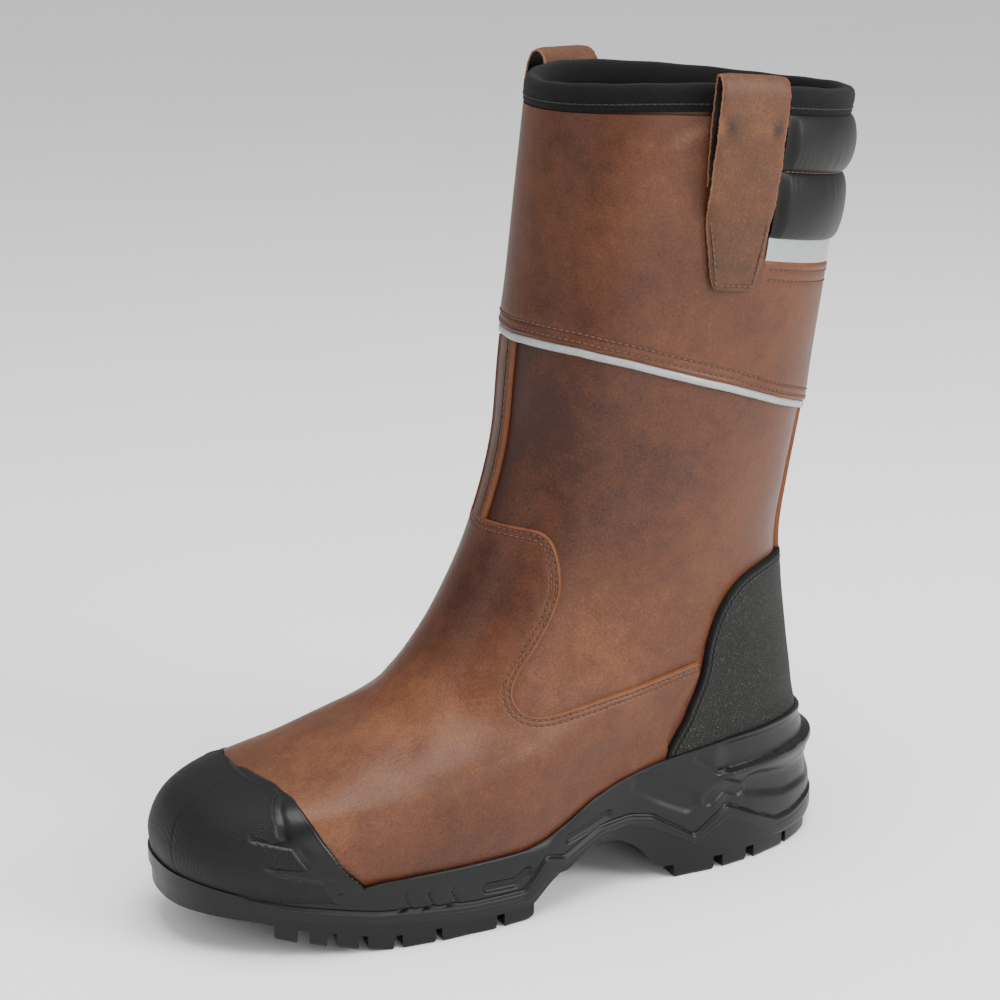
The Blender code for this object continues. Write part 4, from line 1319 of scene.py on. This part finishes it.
@dataclass
class Midsole:
    """The moulded midsole: a rib along the outsole, pockets and hooks in its side, heel ledge."""

    wall: SoleWall
    moulding: bpy.types.Material
    pockets: tuple = (
        (((183, 19), (170, 18.5), (164, 21.5)), 2.8, 1.5),
        (((143, 30.5), (134, 32.5), (123, 36)), 2.4, 1.3),
        (((106, 46), (96, 40), (84, 34)), 6.5, 1.3),
        (((74, 33), (66, 38), (58, 34)), 4.0, 0.9),
        (((8, 29), (30, 30), (50, 35)), 7.0, 1.4),
    )
    hooks: tuple = (((218, 24), (219, 22), (216.5, 17), (221, 16.6)),
                    ((208, 23.4), (209, 21.5), (206.5, 16.4), (211, 16.0)),
                    ((198, 22.6), (199, 20.8), (196.5, 15.8), (201, 15.4)))

    def relief(self, x: Array, z: Array, above: Array) -> Array:
        """Height of the side's details in metres, by side coordinates in millimetres.

        Args:
            x: from the heel's back edge.
            z: over the floor.
            above: height over the rib's line.
        Returns:
            Metres, outward.
        """
        out = 0.9 * (1 - smooth_step(above, -0.5, 0.4))
        out = out - 0.55 * bell(above - 0.9, 0.55)
        out = out - 0.30 * bell(above + 1.9, 0.45) * (x < 235)
        for path, width, depth in self.pockets:
            out = out - depth * (1 - smooth_step(to_segments(x, z, path), 0.45 * width, width))
        for path in self.hooks:
            out = out - 0.8 * bell(to_segments(x, z, path), 0.55)
        heel = 1 - smooth_step(x, 62, 72)
        line = 44.5 - 0.02 * x
        out = out + heel * (1.9 * smooth_step(z, 36, 43) - 3.6 * smooth_step(z, line, line + 1.4))
        slant = to_segments(x, z, ((68, 44), (80, 52)))
        out = out - 0.9 * bell(slant, 1.1)
        scoop = heel * bell(z - 33, 7)
        return (out - 1.3 * scoop) * MM

    def build(self) -> None:
        """Rings from the outsole's lip up the side to the rim, then down inside the cup."""
        wall = self.wall
        rim, lip = wall.table["rim"], wall.table["lip"] * MM
        crest = FORM.surface(wall.u, rim, COVER + 0.5 * MM + lip)
        top = crest[:, 2]
        low = wall.parting - 1.0 * MM
        share = np.linspace(0, 1, 74)[:, None]
        z = low[None] + share * (top - low)[None]
        rise = np.clip((z - wall.rib[None]) / np.maximum(top - wall.rib, 1 * MM)[None], 0, 1)
        lean = np.interp(rise, (0, 0.3, 0.5, 0.65, 0.8, 0.92, 1), (0, 0.04, 0.11, 0.26, 0.50, 0.77, 1))
        ring = wall.ring(0.0)
        out = self.relief(wall.x[None], z / MM, (z - wall.rib[None]) / MM)
        out = out * (1 - smooth_step(rise, 0.90, 1.0)) * smooth_step(share, 0, 0.02)
        xy = ring[None, :, :2] * (1 - lean[..., None]) + crest[None, :, :2] * lean[..., None]
        xy = xy + wall.side[None, :, :2] * out[..., None]
        rows = [np.concatenate([xy, z[..., None]], axis=-1)]
        for part in (0.75, 0.4, 0.1):
            ring_in = FORM.surface(wall.u, rim, COVER + 0.3 * MM + lip * part)
            ring_in[:, 2] = top + 0.5 * MM * np.sin(np.pi * part)
            rows.append(ring_in[None])
        for part in (0.85, 0.5, 0.0):
            rows.append(FORM.surface(wall.u, rim * part, COVER - 0.4 * MM)[None])
        bottom = wall.ring(-3.2 * MM)
        bottom[:, 2] = low
        points, faces = close_ends(np.concatenate([bottom[None], *rows]))
        Piece(points, faces, {"print": np.zeros(len(points))}, points[:, [0, 2]]).make(
            "midsole_moulding", self.moulding, "midsole", slot="midsole", sharp=0.9)


def close_ends(rings: Array) -> tuple[Array, Array]:
    """Close a stack of rings with strips between mirrored places of its first and last ring.

    Args:
        rings: points, rings by places by 3.
    Returns:
        Points and quads.
    """
    count, size = rings.shape[:2]
    faces = [grid_faces(count, size, True)]
    for base, turn in ((0, False), ((count - 1) * size, True)):
        here = np.arange(1, size // 2 - 1)
        strips = np.stack([here, here + 1, size - here - 1, size - here], axis=-1)
        half = size // 2
        ends = np.array([[0, 1, size - 1, size - 1], [half - 1, half, half + 1, half + 1]])
        strips = np.concatenate([strips, ends]) + base
        faces.append(strips if turn else strips[:, ::-1])
    return rings.reshape(-1, 3), np.concatenate(faces)


@dataclass
class Outsole:
    """The rubber outsole: a body with a lip, and lugs round its edge and across the tread."""

    wall: SoleWall
    rubber: bpy.types.Material
    depth: float = 5.5 * MM
    gaps: tuple[float, ...] = (11, 29.5, 51.5, 69, 93, 160, 177, 204.5, 222, 236, 248, 259, 271, 290)
    arch_from: float = 93
    lug_rows: tuple[tuple[float, float], ...] = ((-0.3, -15.0), (-18.0, -31.0))
    last_lug: float = 280

    def build(self) -> None:
        """The body up to the lip, then each lug between two gaps, all as one piece."""
        wall = self.wall
        floor = wall.table["floor"] * MM
        base = floor + self.depth
        parting = np.maximum(wall.parting, base + 1.5 * MM)
        rings = []
        for out, z in (
                (-5.0, base), (-1.2, base), (-0.3, base + 0.5 * MM), (-0.2, base + 0.5 * (parting - base)),
                (0.3, parting - 1.2 * MM), (0.3, parting - 0.3 * MM), (-0.3, parting), (-3.0, parting)):
            ring = wall.ring(out * MM)
            ring[:, 2] = z
            rings.append(ring)
        points, faces = close_ends(np.array(rings))
        parts, quads, count = [points], [faces], len(points)
        for block, block_faces in self.lugs(floor, base):
            parts.append(block)
            quads.append(block_faces + count)
            count += len(block)
        every = np.concatenate(parts)
        Piece(every, np.concatenate(quads), {"print": np.zeros(count)}, every[:, [0, 2]]).make(
            "outsole_rubber", self.rubber, "outsole", slot="outsole", sharp=0.5)

    def lugs(self, floor: Array, base: Array) -> list[tuple[Array, Array]]:
        """Edge lugs between gaps on both sides, and inner lugs in rows behind them.

        Each lug is a loft of rings: a plan outline that follows the wall, drawn in a little
        at the tread for its bevel.

        Args:
            floor: height of the tread at each place.
            base: height of the body's underside.
        Returns:
            Points and quads of each lug.
        """
        wall = self.wall
        made = []
        for side in (1, -1):
            on_side = np.where(np.sign(wall.feather[:, 1] + 1e-6) == side)[0]
            order = on_side[np.argsort(wall.x[on_side])]
            for low, high in zip((-5.0, *self.gaps), (*self.gaps, 305.0)):
                inside = order[(wall.x[order] > low + 1.1) & (wall.x[order] < high - 1.1)]
                if low == self.arch_from or len(inside) < 3:
                    continue
                pick = inside[::2] if len(inside) > 8 else inside
                for near, far in self.lug_rows:
                    outer, inner = wall.ring(near * MM)[pick], wall.ring(far * MM)[pick]
                    if np.abs(outer[:, 1]).min() < 8 * MM or wall.x[pick].max() > self.last_lug:
                        continue
                    beyond = inner[:, 1] * side <= 1.5 * MM
                    inner[beyond, 1] = side * 1.5 * MM
                    made.append(self.block(outer, inner, floor[pick], base[pick], side))
        return made

    def block(self, outer: Array, inner: Array, floor: Array, base: Array,
              side: int) -> tuple[Array, Array]:
        """One lug: an outline of outer and inner edge, lofted from tread to body with a bevel.

        Args:
            outer: points of the edge at the wall.
            inner: points of the edge behind it.
            floor: height of the tread at these places.
            base: height of the body's underside.
            side: 1 on the outer side, -1 on the inner side.
        Returns:
            Points and quads.
        """
        outline = np.concatenate([outer, inner[::-1]])
        heights = np.concatenate([floor, floor[::-1]])
        tops = np.concatenate([base, base[::-1]]) + 0.8 * MM
        centre = outline[:, :2].mean(0)
        rings = []
        for share, pull in ((0.0, 1.3), (0.0, 1.0), (0.14, 0.25), (0.35, 0.0), (1.0, 0.0)):
            ring = outline.copy()
            away = ring[:, :2] - centre
            away /= np.maximum(np.linalg.norm(away, axis=1)[:, None], 1e-6)
            ring[:, :2] -= away * pull * MM
            ring[:, 2] = heights + share * (tops - heights)
            rings.append(ring)
        rings = np.array(rings)
        count, size = rings.shape[:2]
        faces = grid_faces(count, size, True)
        half = size // 2
        here = np.arange(half - 1)
        cap = np.stack([here, here + 1, size - 2 - here, size - 1 - here], axis=-1)
        faces = np.concatenate([faces, cap[:, ::-1], cap + (count - 1) * size])
        return rings.reshape(-1, 3), faces if side > 0 else faces[:, ::-1]


@dataclass
class ToeCap:
    """The moulded cap: smooth toward the vamp, cloth-printed over the toe with finger lobes."""

    moulding: bpy.types.Material
    edge: tuple = (
        (0.300, 0.030), (0.308, 0.064), (0.316, 0.082), (0.330, 0.130), (0.348, 0.172), (0.370, 0.203),
        (0.405, 0.236), (0.450, 0.256), (0.495, 0.256), (0.540, 0.242), (0.590, 0.224),
        (0.630, 0.200), (0.655, 0.165), (0.672, 0.125), (0.684, 0.082), (0.692, 0.064), (0.700, 0.030))
    lobes: tuple = (
        (0.499, 0.243), (0.440, 0.242), (0.420, 0.231), (0.384, 0.179), (0.373, 0.152), (0.380, 0.147),
        (0.398, 0.152), (0.395, 0.141), (0.358, 0.132), (0.342, 0.092), (0.377, 0.098), (0.372, 0.088),
        (0.354, 0.078), (0.331, 0.068), (0.324, 0.030), (0.310, 0.005), (0.300, -0.05))
    toe_round: float = 0.24

    def build(self) -> None:
        """A grid in u, from inside the sole's rim up to the cap's edge, with raised print."""
        u = np.linspace(0.301, 0.699, 280)
        top = np.interp(u, *curve(self.edge, 300, 5).T)
        share = np.concatenate([np.linspace(0, 0.9, 76), np.linspace(0.9, 1, 22)[1:]])[:, None]
        v = 0.004 + (top[None] - 0.004) * share
        chart = chart_grid(u, v)
        points = FORM.skin(chart[..., 0], chart[..., 1])
        edge_line = FORM.skin(u, top)
        distance = np.concatenate([
            np.linalg.norm(part[:, :, None] - edge_line[None, None, ::2], axis=-1).min(-1)
            for part in np.array_split(points, 12)])
        lobes = np.array(self.lobes)
        metres = (self.toe_round, FORM.height)
        flat = chart.reshape(-1, 2) * metres
        corners = np.concatenate([lobes, lobes[::-1] * (-1, 1) + (1, 0)]) * metres
        inside = np.zeros(len(flat), bool)
        apart = np.full(len(flat), 1.0)
        for a, b in zip(corners, np.roll(corners, -1, axis=0)):
            crosses = (a[1] > flat[:, 1]) != (b[1] > flat[:, 1])
            slope = (b[0] - a[0]) * (flat[:, 1] - a[1]) / (b[1] - a[1] + 1e-12) + a[0]
            inside ^= crosses & (flat[:, 0] < slope)
            along = np.clip((flat - a) @ (b - a) / ((b - a) @ (b - a) + 1e-12), 0, 1)
            apart = np.minimum(apart, np.linalg.norm(flat - a - along[:, None] * (b - a), axis=1))
        signed = np.where(inside, apart, -apart).reshape(v.shape)
        fall = np.clip(1 - v / 0.20, 0, 1)
        printed = smooth_step(signed, -0.2 * MM, 0.5 * MM)
        ridge = 0.35 * MM * bell(signed, 0.8 * MM) - 0.35 * MM * bell(signed + 1.4 * MM, 0.8 * MM)
        line = (u[None] - 0.499 + 0.17 * (0.243 - v)) * self.toe_round
        mould = -0.28 * MM * bell(line, 0.35 * MM)
        hem = Hem(height=COVER + 0.5 * MM, round_over=1.5 * MM, swell=0.1 * MM, rows=())
        out = hem.out(distance) + 3.2 * MM * fall + 0.55 * MM * printed + ridge + mould * (v < 0.245)
        outer = FORM.surface(chart[..., 0], v, out)
        inner = FORM.surface(chart[..., 0], v, 0.05 * MM)
        points, faces, used = layer(outer, inner)
        uv = np.concatenate([(chart * (0.30, 0.36)).reshape(-1, 2)] * 2)
        Piece(points, faces, {"print": both_sides(printed, used)}, uv[used]).make(
            "toe_cap_moulding", self.moulding, "toe_cap", slot="toe_cap", sharp=0.9)


@dataclass
class Collar:
    """The padded rolls, reflective strip, binding, lining and piping."""

    coated: bpy.types.Material
    tape: bpy.types.Material
    webbing: bpy.types.Material
    pile: bpy.types.Material
    pad_half: float = 0.222
    pad_bottom: float = 0.9285
    pad_seam: float = 0.962
    pad_top: float = 0.9895
    roll: float = 3.8 * MM
    rim_round: float = 0.37

    def build_padding(self, seams: Seams) -> None:
        """Two foam rolls: each swells as the root of a half sine and puckers at its seam.

        Args:
            seams: takes the stitches.
        """
        u = np.linspace(-self.pad_half, self.pad_half, 300)
        share = np.linspace(0, 1, 84)
        seam = (self.pad_seam - self.pad_bottom) / (self.pad_top - self.pad_bottom)
        share = np.sort(np.concatenate([share, seam + np.array([-0.006, 0.0, 0.006])]))[:, None]
        v = self.pad_bottom + (self.pad_top - self.pad_bottom) * share
        within = np.where(share < seam, share / seam, (share - seam) / (1 - seam))
        swell = np.clip(np.sin(np.pi * within), 0, 1) ** 0.46
        near = bell((share - seam) * 19 * MM, 3.2 * MM) + 0.6 * bell(share * 19 * MM, 2.4 * MM)
        pucker = 0.10 * MM * near * (np.sin(u * 610 + 5 * np.sin(u * 61)) * np.sin(u * 47 + 1))[None]
        wave = 0.30 * MM * np.sin(u * 41 + 1.3)[None] * np.sin(2 * np.pi * share)
        ends = smooth_step(self.pad_half - np.abs(u), 0, 0.012)[None] * 0.7 + 0.3
        out = COVER - 0.6 * MM + (self.roll + 0.6 * MM) * swell * ends + (pucker + wave) * swell
        grid_u, grid_v = np.broadcast_arrays(u[None], v)
        outer = FORM.surface(grid_u, grid_v, out)
        inner = FORM.surface(grid_u, grid_v, GAP)
        points, faces, used = layer(outer, inner)
        uv = np.concatenate([spread_uv(outer).reshape(-1, 2)] * 2)
        pad = Piece(points, faces, {"rim": np.zeros(len(used))}, uv[used]).make(
            "collar_pad", self.coated, "collar_padding", slot="collar_padding", sharp=1.2)
        line = chart_grid(np.linspace(-0.216, 0.216, 400), np.array(self.pad_seam))
        seams.on_form(line, COVER - 0.2 * MM)

    def build_strip(self) -> None:
        """The reflective strip under the padding, slightly crowned."""
        u, v = np.linspace(-self.pad_half, self.pad_half, 200), np.linspace(0.9150, 0.9305, 14)
        grid_u, grid_v = np.broadcast_arrays(u[None], v[:, None])
        out = COVER - 0.55 * MM + 0.25 * MM * np.sin(np.pi * (grid_v - 0.915) / 0.0155)
        inner = FORM.surface(grid_u, grid_v, out - 0.6 * MM)
        points, faces, _ = layer(FORM.surface(grid_u, grid_v, out), inner)
        Piece(points, faces).make(
            "reflective_band", self.tape, "reflective_strip", slot="reflective_strip")

    def build_binding(self, seams: Seams) -> None:
        """The binding: a rounded profile carried round the collar's edge and closed on itself.

        Args:
            seams: takes the stitches.
        """
        profile = np.array((
            (-8.9, 0.4), (-8.95, 1.3), (-8.3, 2.0), (-7.0, 2.15), (-6.0, 1.95), (-4.8, 2.3), (-3.0, 2.45),
            (-1.0, 2.35), (0.4, 1.9), (1.4, 1.0), (1.8, -0.3), (1.85, -1.6), (1.5, -2.9), (0.6, -3.9),
            (-1.2, -4.6), (-3.6, -4.9), (-6.0, -4.8), (-7.8, -4.5), (-8.8, -3.9), (-8.9, -3.0),
            (-5.0, -2.7), (0.2, -2.7), (0.3, -1.2), (0.2, 0.2), (-5.0, 0.25))) * MM
        u = np.linspace(0, 1, 420, endpoint=False)
        height, out = (np.broadcast_to(profile[:, i, None], (len(profile), len(u))) for i in (0, 1))
        wobble = 0.22 * MM * np.sin(u * 2 * np.pi * 5 + 0.6) + 0.12 * MM * np.sin(u * 2 * np.pi * 17)
        rings = FORM.over_collar(np.broadcast_to(u, height.shape), height + wobble * (height > 0), out)
        uv = chart_grid(u[None] * self.rim_round, run_along(profile)[:, None])
        faces = grid_faces(*height.shape, wrap=True, tube=True)
        Piece(rings, faces, {"rim": np.zeros(height.size)}, uv).make(
            "collar_webbing", self.webbing, "collar_binding", slot="collar_binding", sharp=1.2)
        around = np.linspace(0, 1, 600)
        seams.sew(FORM.over_collar(around, -6.0 * MM, 2.0 * MM), FORM.normal(around, 0.985))

    def build_lining(self) -> None:
        """The pile lining: a thin wall inside the leather, uneven by two sine waves."""
        u, v = np.linspace(0, 1, 160, endpoint=False), np.linspace(0.05, 0.985, 80)
        grid_u, grid_v = np.broadcast_arrays(u[None], v[:, None])
        rough = 0.18 * MM * np.sin(grid_u * 620 + 3 * np.sin(grid_v * 90)) * np.sin(grid_v * 700)
        outer = FORM.surface(grid_u, grid_v, -1.5 * MM)
        inner = FORM.surface(grid_u, grid_v, -2.7 * MM + rough)
        points, faces, _ = layer(outer, inner, True)
        Piece(points, faces).make("pile_lining", self.pile)

    def build_piping(self, leathers: Leathers) -> None:
        """The reflective piping: a round bead carried under the cuff's edge.

        Args:
            leathers: knows where the cuff's edge is.
        """
        u = np.linspace(0, 1, 420, endpoint=False)
        turn = 2 * np.pi * np.arange(12) / 12
        drop = (-0.75 + 1.05 * np.sin(turn)) * MM / LEG_PER_V
        out = (1.55 + 0.9 * np.cos(turn)) * MM
        v = leathers.cuff_edge(u)[None] + drop[:, None]
        rings = FORM.surface(np.broadcast_to(u, v.shape), v, np.broadcast_to(out[:, None], v.shape))
        # the quads' first corner decides which diagonal they are cut along
        faces = np.roll(grid_faces(*v.shape, wrap=True, tube=True), -1, axis=1)
        Piece(rings, faces).make("cuff_bead", self.tape, "cuff_piping", slot="cuff_piping")


@dataclass
class PullLoop:
    """A leather strap folded over and sewn on at both ends, coloured darker on its inner faces."""

    name: str
    middle: float
    lean: float
    bulge: float
    leather: bpy.types.Material
    width: float = 31 * MM
    thickness: float = 2.0 * MM
    rows: tuple = (
        (-79.0, 3.3, 0.52), (-78.2, 3.3, 0.60), (-76.0, 3.3, 0.68), (-62.0, 3.3, 0.84), (-50.0, 3.4, 0.97),
        (-40.0, 6.1, 1.00), (-24.0, 8.8, 1.00), (-10.0, 10.0, 1.00), (0.0, 9.6, 1.00),
        (4.9, 8.0, 1.00), (6.3, 6.2, 1.00), (5.3, 4.3, 1.00), (1.0, 3.5, 1.00),
        (-10.0, 3.5, 1.00), (-24.0, 3.5, 1.00), (-36.0, 3.5, 1.00))

    def build(self, seams: Seams) -> None:
        """A flat rounded section carried along the strap's path, its cut edges a little ragged.

        Args:
            seams: takes the stitches of the sewn patch.
        """
        path = np.array(self.rows)
        out = np.where(path[:, 1] > 3.3, 3.3 + self.bulge * (path[:, 1] - 3.3), path[:, 1])
        line = curve(np.stack([out, path[:, 0], path[:, 2] * 10], axis=-1) * MM, 190, 3)
        half = line[:, 2] * 100
        line = line[:, :2]
        ahead = np.gradient(line, axis=0)
        ahead /= np.linalg.norm(ahead, axis=1)[:, None]
        away = np.stack([ahead[:, 1], -ahead[:, 0]], axis=-1)
        turn = 2 * np.pi * (np.arange(44) + 0.5) / 44
        a = np.sign(np.cos(turn)) * np.abs(np.cos(turn)) ** 0.28
        b = np.sign(np.sin(turn)) * np.abs(np.sin(turn)) ** 0.75
        steps = np.arange(len(line))[:, None]
        ragged = 0.22 * MM * np.sin(steps * 1.9 + 3 * np.sin(steps * 0.53)) * (np.abs(a) > 0.93)
        across = a[None] * half[:, None] * self.width / 2 + np.sign(a)[None] * ragged
        rise = b[None] * self.thickness / 2 + 0.12 * MM * np.sin(across * 700 + steps * 0.21)
        edge = FORM.skin(np.array([self.middle - 0.01, self.middle + 0.01]), 1.0)
        chord = edge[1] - edge[0]
        lean = self.lean * smooth_step(line[:, 1], -80 * MM, 0.0)[:, None]
        place_u = self.middle + lean + 0 * across
        u = place_u - across * 0.02 / np.linalg.norm(chord)
        middle_out = line[:, 0][:, None] + away[:, 0][:, None] * rise
        middle_up = line[:, 1][:, None] + away[:, 1][:, None] * rise
        curved = FORM.over_collar(u, middle_up, middle_out)
        centre = FORM.over_collar(place_u, middle_up, middle_out)
        flat = centre - across[..., None] * chord / np.linalg.norm(chord)
        free = np.clip((line[:, 0] / MM - 3.3) / 3.0, 0, 1)[:, None, None]
        rings = curved + free * (flat - curved)
        points, faces = close_ends(rings)
        # the faces that look inward are coloured much darker
        inward = (rise < 0) & (np.abs(a)[None] < 0.985)
        tone = tone_at(points) + 0.06 - 0.85 * inward.ravel()
        rim = (np.abs(a)[None] > 0.97) * np.ones((len(line), 1)) * 0.7
        fold_marks = 0.30 * bell(np.arange(len(line)) - 96, 5)[:, None] * np.sin(across * 600 + 1)
        values = {"rim": rim.ravel(), "tone": tone - fold_marks.ravel(), "scuff": 0.5 * rim.ravel()}
        piece = Piece(points, faces, values)
        fix_outward(piece.make(f"{self.name}_leather", self.leather, self.name, slot=self.name, sharp=1.0))
        self.sew_patch(seams, chord)

    def sew_patch(self, seams: Seams, chord: Array) -> None:
        """Stitches round the sewn patch, 2 mm inside its border.

        Args:
            seams: takes the stitches.
            chord: a short step along the collar's edge at the loop.
        """
        per_u = 0.02 / np.linalg.norm(chord)
        border_line = np.array(((-48.5, 0.95), (-62.0, 0.78), (-76.0, 0.60), (-76.6, 0.52), (-76.6, -0.52),
                                (-76.0, -0.60), (-62.0, -0.78), (-48.5, -0.95), (-48.5, 0.95)))
        scaled = np.stack([border_line[:, 0] * MM, border_line[:, 1] * (self.width / 2 - 1.5 * MM),
                           0 * border_line[:, 0]], axis=-1)
        line = curve(scaled, 260)
        u = self.middle + self.lean * smooth_step(line[:, 0], -80 * MM, 0.0) + line[:, 1] * per_u
        seams.sew(FORM.over_collar(u, line[:, 0], 4.35 * MM), FORM.normal(u, 0.9))


def fix_outward(thing: bpy.types.Object) -> None:
    """Turn a closed mesh so that its faces point outward, by the sign of its volume.

    Args:
        thing: the mesh object.
    """
    mesh = thing.data
    mesh.calc_loop_triangles()
    corners = np.array([t.vertices[:] for t in mesh.loop_triangles])
    points = np.array([v.co[:] for v in mesh.vertices])
    a, b, c = (points[corners[:, i]] for i in range(3))
    if (a * np.cross(b, c)).sum() < 0:
        mesh.flip_normals()


@dataclass(frozen=True)
class Studio:
    """Pale floor, white surround, soft boxes and the camera at the photograph's angle."""

    eye: tuple[float, float, float] = (0.5409, 0.8404, 0.4401)
    target: tuple[float, float, float] = (0.10755, 0.0, 0.16301)
    lens: float = 86.4
    paper_half: float = 6.0
    surround: float = 0.42
    sky: float = 1.3
    sky_angle: float = 2.0
    aim: tuple[float, float, float] = (0.08, 0.0, 0.14)
    softboxes: tuple = (
        ("right softbox", (-0.9, 1.3, 0.9), 0.8, 33), ("top softbox", (0.1, 0.3, 1.7), 1.1, 30),
        ("toe softbox", (1.4, 0.1, 0.7), 0.7, 3), ("front softbox", (0.4, 1.7, 0.5), 0.8, 8))

    def build(self) -> None:
        """Make the stage, the lights and the camera."""
        self.build_floor()
        self.build_lights()
        self.build_camera()

    def build_floor(self) -> None:
        """The matt white paper under the boot, slightly uneven in shade."""
        mesh = bpy.data.meshes.new("studio_floor")
        far = self.paper_half
        corners = [(-far, -far, 0), (far, -far, 0), (far, far, 0), (-far, far, 0)]
        mesh.from_pydata(corners, [], [(0, 1, 2, 3)])
        floor = bpy.data.objects.new("studio_floor", mesh)
        material, tree, shader = start("matt white paper", {"Roughness": 0.9, "Specular IOR Level": 0.1})
        shade = noise(tree, place(tree, Way.OBJECT), 300)
        colour = ramp(tree, shade, ((0.0, "#f3f3f3"), (1.0, "#fafafa")))
        wire(tree, shader, {"Base Color": colour})
        mesh.materials.append(material)
        bpy.context.scene.collection.objects.link(floor)

    def build_lights(self) -> None:
        """The white surround, the soft boxes and the even light from above."""
        world = bpy.data.worlds.new("white surround")
        world.use_nodes = True
        background = world.node_tree.nodes["Background"]
        background.inputs[0].default_value = (1, 1, 1, 1)
        background.inputs[1].default_value = self.surround
        bpy.context.scene.world = world
        for name, at, size, power in self.softboxes:
            self.softbox(name, Vector(at), size, power)
        sun = bpy.data.lights.new("overhead sky", "SUN")
        sun.energy = self.sky
        sun.angle = self.sky_angle
        bpy.context.scene.collection.objects.link(bpy.data.objects.new("overhead sky", sun))

    def build_camera(self) -> None:
        """The camera at the photograph's angle."""
        camera = bpy.data.cameras.new("camera")
        camera.lens = self.lens
        camera.sensor_width = 36
        camera.clip_start = 0.01
        thing = bpy.data.objects.new("camera", camera)
        thing.location = self.eye
        way = Vector(self.target) - Vector(self.eye)
        thing.rotation_euler = way.to_track_quat("-Z", "Y").to_euler()
        bpy.context.scene.collection.objects.link(thing)
        bpy.context.scene.camera = thing

    def softbox(self, name: str, at: Vector, size: float, power: float) -> None:
        """An area light that faces the boot.

        Args:
            name: the light's name.
            at: its middle.
            size: side of the square, metres.
            power: watts.
        """
        light = bpy.data.lights.new(name, "AREA")
        light.size = size
        light.energy = power
        thing = bpy.data.objects.new(name, light)
        thing.location = at
        thing.rotation_euler = (Vector(self.aim) - at).to_track_quat("-Z", "Y").to_euler()
        bpy.context.scene.collection.objects.link(thing)


def main() -> None:
    """Build the studio and every sub-assembly in order."""
    logging.basicConfig(level=logging.INFO, format="%(message)s")
    Studio().build()
    leather = OiledLeather().build()
    edge_leather = OiledLeather(name="raw-edged leather", dark="#301509", middle="#4d2714", light="#6b3d24",
                                roughness=0.7).build()
    strap_leather = OiledLeather(name="strap leather", dark="#120a06", middle="#4a2a15", light="#6c4427",
                                 roughness=0.6).build()
    polyurethane = Moulding("satin moulded polyurethane", "#050606", "#141616", 0.40).build()
    cap_moulding = Moulding("moulded toe polyurethane", "#020202", "#0f1010", 0.33).build()
    rubber = Moulding("moulded nitrile rubber", "#020202", "#0b0c0c", 0.42).build()
    ballistic = Cloth("abrasion-proof woven nylon", "#010101", "#5a5b55", 0.9, 0.06, 0.72,
                      flecks=0.8, threads=0.07).build()
    coated = Cloth("coated collar cloth", "#080807", "#0f0f0d", 0.5, 0.02, 0.46, sheen=0.03).build()
    webbing = Cloth("knitted binding tape", "#030303", "#0c0c0c", 0.8, 0.12, 0.9, sheen=0.03).build()
    tape, pile = BeadedTape().build(), Fleece().build()
    brown_thread = Thread("waxed brown thread", "#5f3620").build()
    black_thread = Thread("black bonded thread", "#060606", "#020202").build()
    brown, black = Seams(), Seams()

    leathers = Leathers(leather, edge_leather, brown)
    leathers.build()
    HeelCounter(ballistic).build(black)
    wall = SoleWall()
    Midsole(wall, polyurethane).build()
    Outsole(wall, rubber).build()
    ToeCap(cap_moulding).build()
    collar = Collar(coated, tape, webbing, pile)
    collar.build_padding(brown)
    collar.build_strip()
    collar.build_binding(black)
    collar.build_lining()
    collar.build_piping(leathers)
    PullLoop("pull_loop_outer", 0.255, 0.012, 1.0, strap_leather).build(brown)
    PullLoop("pull_loop_inner", 0.688, 0.0, 1.5, strap_leather).build(brown)
    brown.make("brown_stitching", brown_thread)
    black.make("black_stitching", black_thread)
    board = Cloth("footbed cloth", "#1a1a1b", "#3a3a3c", 1.2, 0.2).build()
    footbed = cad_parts["insole"]
    footbed.data.materials.clear()
    footbed.data.materials.append(board)


if __name__ == "__main__":
    main()
